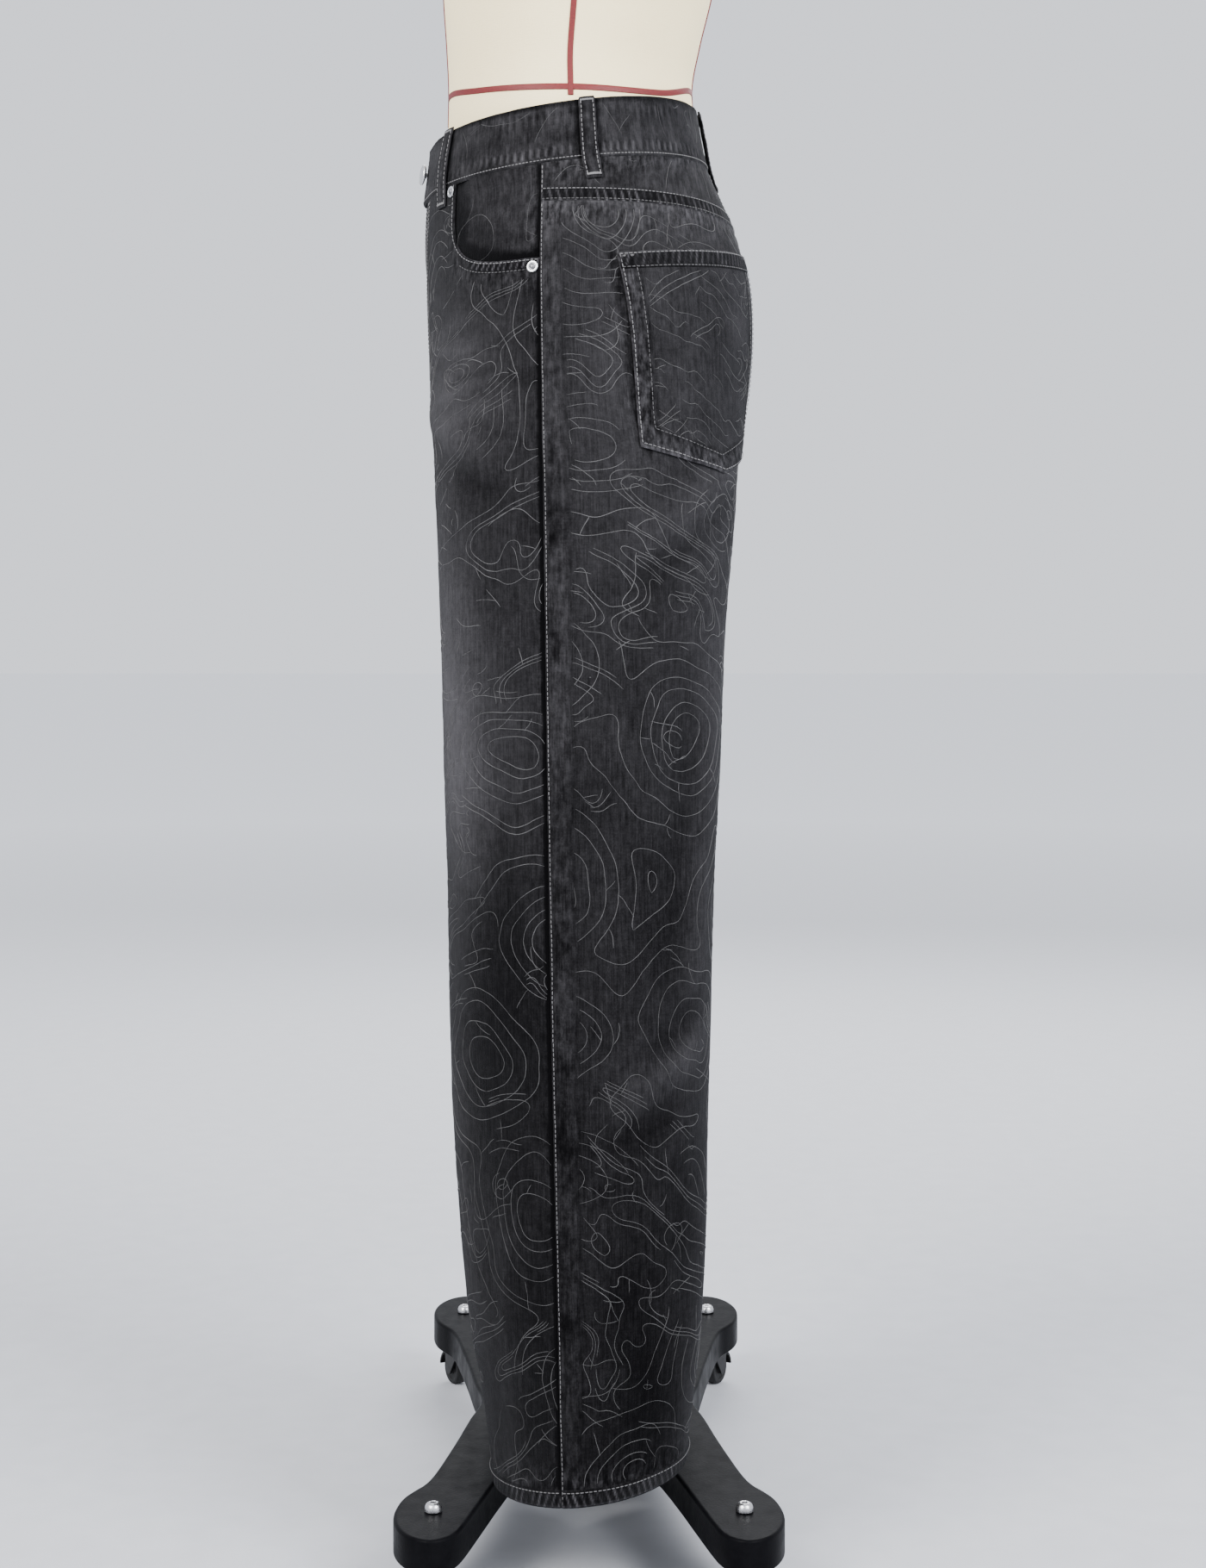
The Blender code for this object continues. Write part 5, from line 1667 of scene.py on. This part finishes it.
def belt_loop(name, degrees, lean):
    """A strip that stands a little off the band and is tacked down at both ends."""
    heights, gaps = np.array(LOOP_PROFILE).T
    fine = np.linspace(heights[0], heights[-1], 60)
    i = np.clip(np.searchsorted(heights, fine) - 1, 0, len(heights) - 2)
    t = (fine - heights[i]) / (heights[i + 1] - heights[i])
    gap = gaps[i] + (gaps[i + 1] - gaps[i]) * (t * t * (3 - 2 * t))
    radius = np.linalg.norm(bare_point(WAIST_LEVEL, math.radians(abs(degrees) - 90), 1)[:2])

    def surface(u, v, out):
        """u is metres across the loop and v the height above the waist seam."""
        u, v, out = together(u, v, out)
        share = (v - heights[0]) / (heights[-1] - heights[0]) - 0.5
        turn = np.radians(degrees + lean * share) + u / radius
        ridge = 0.00030 * spot(u, 0.0026) - 0.00025 * spot(np.abs(u) - 0.0058, 0.0010)
        crumple = 0.00015 * noise(u / 0.004, v / 0.0045, 900)
        lift = out + np.interp(v, fine, gap) + LOOP_THICK + ridge + crumple
        return point_on_band(WAIST_LEVEL + v, turn, lift)

    across, v = together(np.linspace(-0.5, 0.5, 17)[None, :] * LOOP_WIDTH, fine[:, None])
    edge = np.abs(across) / (LOOP_WIDTH / 2)
    wash_and_shade = 0.26 * spot(across, 0.0026) + 0.25 * smooth(0.84, 1.0, edge)
    wash_and_shade += 0.20 * noise(across / 0.003, v / 0.0035, 901) - 0.08
    uv = flat_path(across + 0.9, v + degrees * 0.01)
    body = wall(f"denim_{name}", surface(across, v, 0.0), surface(across, v, -LOOP_THICK), uv=uv, wash_and_shade=wash_and_shade)
    dress(body, "denim", name)
    rise = np.linspace(heights[0] + 0.002, heights[-1] - 0.002, 30)
    rows = [sewn(surface, flat_path(at, rise), 0.0002, 905) for at in (-0.0060, 0.0060)]
    for at in (heights[0] + 0.0022, heights[-1] - 0.0022):
        rows.append(bar_tack(surface, (-0.0066, at), (0.0066, at), 0.0022, 906))
    sewing = stitches(f"sewing_{name}", rows)


def on_normal(at, normal):
    """The transform that stands a piece on a point, its axis along the normal."""
    turn = Vector(normal).to_track_quat("Z", "Y").to_matrix().to_4x4()
    return Matrix.Translation(Vector(at)) @ turn


def normal_at(low, high):
    """The direction from one point to the other."""
    return unit(np.asarray(high) - np.asarray(low))


def fasteners():
    """The button near the band's left end, and four rivets, each a ring round a dark nipple."""
    turn = math.pi - BUTTON_X / section("out", WAIST_LEVEL)
    level = (WAIST_LEVEL + TOP_LEVEL) / 2
    out = BAND_OUT + lap_lift(turn)
    at = point_on_band(level, turn, out + METAL_GAP + BUTTON_RADIUS * math.sin(BUTTON_LEAN))
    behind = point_on_band(level, turn, out - 0.01)
    normal = Matrix.Rotation(BUTTON_LEAN, 3, "Z") @ Vector(normal_at(behind, at))
    profile = (
        (0.0025, -0.0014), (0.0025, 0.0), (0.0050, 0.0001), (0.0076, 0.0008), (0.0083, 0.0013),
        (BUTTON_RADIUS, 0.0019), (0.0084, 0.0025), (0.0080, 0.0030), (0.0073, 0.0031), (0.0068, 0.0027),
        (0.0060, 0.0026), (0.0055, 0.0029), (0.0040, 0.0033), (0.0020, 0.0035), (0.0004, 0.0036),
    )
    dress(turned("metal_button", profile, 64, "silver", on_normal(at, normal)), "garment_metal", "button")
    places = (("side", 1.0285, 0.029), ("front", 1.1065, 0.524))
    ring = ((0.0040, 0.0), (0.0045, 0.0003), (RIVET_RADIUS, 0.0007), (0.0043, 0.0011), (0.0036, 0.0013),
            (0.0029, 0.0011), (0.0025, 0.0007), (0.0024, 0.0006))
    nipple = ((0.0023, 0.0004), (0.0022, 0.0011), (0.0018, 0.0016), (0.0010, 0.0019), (0.0003, 0.0020))
    for side, word in ((1, "left"), (-1, "right")):
        for corner, level, share in places:
            angle = seam_to_seam(np.float64(level), share, 1)
            at = point(level, angle, side, METAL_GAP + 0.0003)
            normal = normal_at(point(level, angle, side, -0.01), at)
            place_at = on_normal(at, normal)
            name = f"rivet_{word}_{corner}"
            dress(turned(f"metal_{name}", ring, 40, "silver", place_at), "garment_metal", name)
            inner = turned(f"rivet_nipple_{word}_{corner}", nipple, 32, "dark_metal", place_at)
            dress(inner, "garment_metal")


def form_ring(height, turn, out=0.0):
    """A point of the form's surface. The turn is 0 at the left side and a quarter turn at the back."""
    height, turn = together(height, turn)
    front, back, half = (curve(FORM_SECTIONS, FORM_COLUMNS, n, height) for n in FORM_COLUMNS[1:])
    x = (half + out) * np.cos(turn)
    y = (front + back) / 2 + ((back - front) / 2 + out) * np.sin(turn)
    return place(np.stack([x, y, height], -1))


def form():
    """The covered form, closed at both ends, and its tapes."""
    sides = 112
    low, high = FORM_SECTIONS[0][0], FORM_SECTIONS[-1][0]
    parts = ((low, 0.945, 9), (0.945, 1.325, 70), (1.325, high, 14))
    heights = np.append(np.concatenate([np.linspace(*part)[:-1] for part in parts]), high)
    points = [form_ring(heights[:, None], circle(sides)[None, :]).reshape(-1, 3)]
    faces = ring_faces(len(heights), sides, caps=False)
    count = len(heights) * sides
    for first, upward in ((0, False), (count - sides, True)):
        rim = points[0][first:first + sides]
        middle = rim.mean(axis=0)
        start = first
        for share in (0.75, 0.4):
            ring = middle + (rim - middle) * share
            points.append(ring)
            for k in range(sides):
                n = (k + 1) % sides
                quad = (start + k, start + n, count + n, count + k)
                faces.append(quad if upward else quad[::-1])
            start = count
            count += sides
        points.append(middle[None])
        for k in range(sides):
            tri = (start + k, start + (k + 1) % sides, count)
            faces.append(tri if upward else tri[::-1])
        count += 1
    body = build("canvas_form", np.concatenate(points), faces, "canvas", smooth_below=40)
    dress(body, "form_canvas", "form")

    def ribbon(name, place_at):
        """A thin flat tape on the form, where place_at gives points across its middle and out of the form."""
        across = TAPE_WIDTH / 2 * np.array([-1.0, -0.85, 0.0, 0.85, 1.0])
        lift = TAPE_THICK * np.array([0.25, 1.0, 1.15, 1.0, 0.25])
        outer = np.stack([place_at(a, up) for a, up in zip(across, lift)])
        inner = np.stack([place_at(a, -0.0004) for a in across])
        dress(wall(name, outer, inner, "tape"), "form_canvas")

    around = np.linspace(0, 2 * math.pi, 181)
    waist = curve(WAIST_TAPE, WAIST_TAPE_COLUMNS, "height", np.degrees(np.arcsin(np.sin(around))))
    ribbon("tape_waist", lambda a, out: form_ring(waist + a, around, out))
    climb = np.linspace(1.165, high - 0.004, 60)
    for word, turn in (("left", 0.0), ("back", math.pi / 2), ("right", math.pi), ("front", -math.pi / 2)):
        ribbon(f"tape_{word}", lambda a, out: form_ring(climb, turn + a / TAPE_RADIUS, out + 0.0002))


def rounded_outline(quarter):
    """The base's whole outline from one quarter, smoothed between its points."""
    q = np.array(quarter)
    p = np.concatenate([q, q[-2::-1] * (1, -1), q[1:] * (-1, -1), q[-2:0:-1] * (-1, 1)])
    before, after, later = np.roll(p, 1, 0), np.roll(p, -1, 0), np.roll(p, -2, 0)
    slope = after - before
    bend = 2 * before - 5 * p + 4 * after - later
    twist = 3 * p - before - 3 * after + later
    out = [0.5 * (2 * p + slope * t + bend * t**2 + twist * t**3) for t in (0.0, 0.25, 0.5, 0.75)]
    return np.stack(out, 1).reshape(-1, 2)


def base():
    """The plate with four broad arms, its upper edge well rounded."""
    outline = rounded_outline(BASE_QUARTER)
    count = len(outline)
    inward = left_of(unit(np.roll(outline, -1, 0) - np.roll(outline, 1, 0)))
    if (inward * outline).sum() > 0:
        inward = -inward
    soft = 0.0026
    profile = [(0.0022, BASE_BOTTOM), (0.0010, BASE_BOTTOM), (0.0, BASE_BOTTOM + 0.0010)]
    for a in np.radians((0, 22, 45, 68, 90)):
        profile.append((soft * (1 - math.cos(a)), BASE_TOP - soft + soft * math.sin(a)))
    profile.append((soft + 0.0012, BASE_TOP))
    rings = [np.column_stack([outline + inward * inset, np.full(count, z)]) for inset, z in profile]
    faces = ring_faces(len(rings), count)
    body = build("painted_base", np.concatenate(rings), faces, "paint", smooth_below=METAL_SMOOTH)
    dress(body, "base_paint", "base")


def bolts():
    """Domed heads with a hexagonal socket."""
    dome = (
        (0.0066, 0.0), (0.0069, 0.0006), (0.0068, 0.0020), (0.0065, 0.0036),
        (0.0058, 0.0052), (0.0048, 0.0062), (0.0040, 0.0066), (0.0034, 0.0068),
    )
    sides = 48
    a = circle(sides)
    hexagon = SOCKET_HALF / np.cos((a + math.pi / 6) % (math.pi / 3) - math.pi / 6)
    rings = list(dome) + [(hexagon, 0.0066), (hexagon, 0.0044)]
    points = [np.stack(together(r * np.cos(a), r * np.sin(a), height), -1) for r, height in rings]
    head = np.concatenate(points)
    faces = ring_faces(len(rings), sides)
    for word, x, y, _ in PADS:
        at = np.array([x, y, BASE_TOP + REST_GAP])
        body = build(f"steel_bolt_{word}", head + at, faces, "steel", smooth_below=BOLT_SMOOTH)
        dress(body, "stand_steel", f"bolt_{word}")


def wheels():
    """Twin-edged rollers: a rounded tread and a hub set in from each face."""
    w, r = WHEEL_WIDTH / 2, WHEEL_RADIUS
    half = (
        (BORE_RADIUS, 0.0004), (0.0048, 0.0004), (0.0052, 0.0013), (0.0098, 0.0013), (0.0104, 0.0004),
        (r - 0.0022, 0.0), (r - 0.0010, 0.0004), (r - 0.0002, 0.0016), (r, 0.0030),
    )
    loop = [(out, inset - w) for out, inset in half] + [(out, w - inset) for out, inset in half[::-1]]
    for word, x, y, degrees in PADS:
        at = Matrix.Translation((x, y, 0)) @ Matrix.Rotation(math.radians(degrees), 4, "Z")
        lie = at @ Matrix.Translation((TRAIL, 0, WHEEL_RADIUS)) @ Matrix.Rotation(math.pi / 2, 4, "X")
        body = turned(f"tread_{word}", loop, 64, "tread", lie, ring=True)
        dress(body, "caster_plastic", f"wheel_{word}", body=f"roller_{word}")


def carried_over(frame):
    """Materials for the CAD nodes that stay."""
    for name, obj in frame["nodes"].items():
        for start, look in (("caster_fork", "plastic"), ("pole", "steel")):
            if name.startswith(start):
                obj.data.materials.clear()
                obj.data.materials.append(LOOKS[look])


def stage():
    """The floor, with painted light that pales it with distance until it matches the pale world."""
    tree = Tree("floor", (0.46, 0.47, 0.50), 0.8)
    tree.shader.inputs["Specular IOR Level"].default_value = 0.1
    fleck = tree.noise((30.0, 30.0, 1.0), detail=3.0)
    near = tree.mix(tree.spread(fleck, 0.3, 0.7), (0.450, 0.460, 0.490), (0.475, 0.485, 0.515))
    reach = tree.nodes.new("ShaderNodeVectorMath")
    reach.operation = "LENGTH"
    tree.link(tree.nodes.new("ShaderNodeNewGeometry").outputs["Position"], reach.inputs[0])
    # Painted light: the colour pales from the near tone to the world's with distance
    tree.colour(tree.mix(tree.spread(reach.outputs["Value"], 0.8, 7.0), near, (0.93, 0.94, 0.96)))
    mesh = bpy.data.meshes.new("floor")
    half = 30.0
    corners = [(half * x, half * y, 0) for x, y in ((-1, -1), (1, -1), (1, 1), (-1, 1))]
    mesh.from_pydata(corners, [], [(0, 1, 2, 3)])
    mesh.materials.append(tree.material)
    floor = bpy.data.objects.new("floor", mesh)
    bpy.context.scene.collection.objects.link(floor)


CAMERA_AT = (GARMENT_X + 2.06, -0.0112, 0.7587)
FOCAL_PIXELS = 2870.0
PHOTO_WIDTH = 1400.0
PHOTO_HEIGHT = 1820.0
AXIS_PIXEL = (666.7, 714.0)


def camera():
    """The camera that gives the photo's view."""
    data = bpy.data.cameras.new("camera")
    data.sensor_width = 36.0
    data.lens = 36.0 * FOCAL_PIXELS / PHOTO_HEIGHT
    data.shift_x = (PHOTO_WIDTH / 2 - AXIS_PIXEL[0]) / PHOTO_HEIGHT
    data.shift_y = -(PHOTO_HEIGHT / 2 - AXIS_PIXEL[1]) / PHOTO_HEIGHT
    data.dof.use_dof = False
    obj = bpy.data.objects.new("camera", data)
    obj.location = CAMERA_AT
    obj.rotation_euler = (math.pi / 2, 0, math.pi / 2)
    bpy.context.scene.collection.objects.link(obj)
    bpy.context.scene.camera = obj


# Lights: name, place, what it points at, width, height, watts, colour
LIGHTS = (
    ("key", (1.9, -1.7, 2.5), (0.1, 0.0, 1.0), 1.2, 1.4, 140.0, (1.0, 0.985, 0.96)),
    ("fill", (1.9, 1.8, 2.3), (0.1, 0.0, 0.9), 1.4, 1.6, 155.0, (0.97, 0.98, 1.0)),
    ("back", (-2.4, 0.4, 2.5), (0.1, 0.0, 0.9), 2.0, 2.0, 90.0, (1.0, 1.0, 1.0)),
)
WORLD_COLOUR = (0.90, 0.93, 1.0)
WORLD_STRENGTH = 1.3


def lights():
    """Soft lamps and a pale world."""
    for name, at, target, width, height, watts, colour in LIGHTS:
        data = bpy.data.lights.new(name, "AREA")
        data.shape = "RECTANGLE"
        data.size = width
        data.size_y = height
        data.energy = watts
        data.color = colour
        obj = bpy.data.objects.new(name, data)
        obj.location = at
        obj.rotation_euler = (Vector(target) - Vector(at)).to_track_quat("-Z", "Y").to_euler()
        bpy.context.scene.collection.objects.link(obj)
    world = bpy.data.worlds.new("studio")
    world.use_nodes = True
    background = world.node_tree.nodes["Background"]
    background.inputs["Color"].default_value = (*WORLD_COLOUR, 1)
    background.inputs["Strength"].default_value = WORLD_STRENGTH
    bpy.context.scene.world = world


def main():
    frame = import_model()
    looks()
    for side, word in ((1, "left"), (-1, "right")):
        leg_pieces(side, word)
        yoke(side, word)
        facing_piece(side, word)
        back_pocket(side, word)
    waistband()
    for loop in LOOPS:
        belt_loop(*loop)
    fasteners()
    form()
    base()
    bolts()
    wheels()
    carried_over(frame)
    stage()
    camera()
    lights()


main()
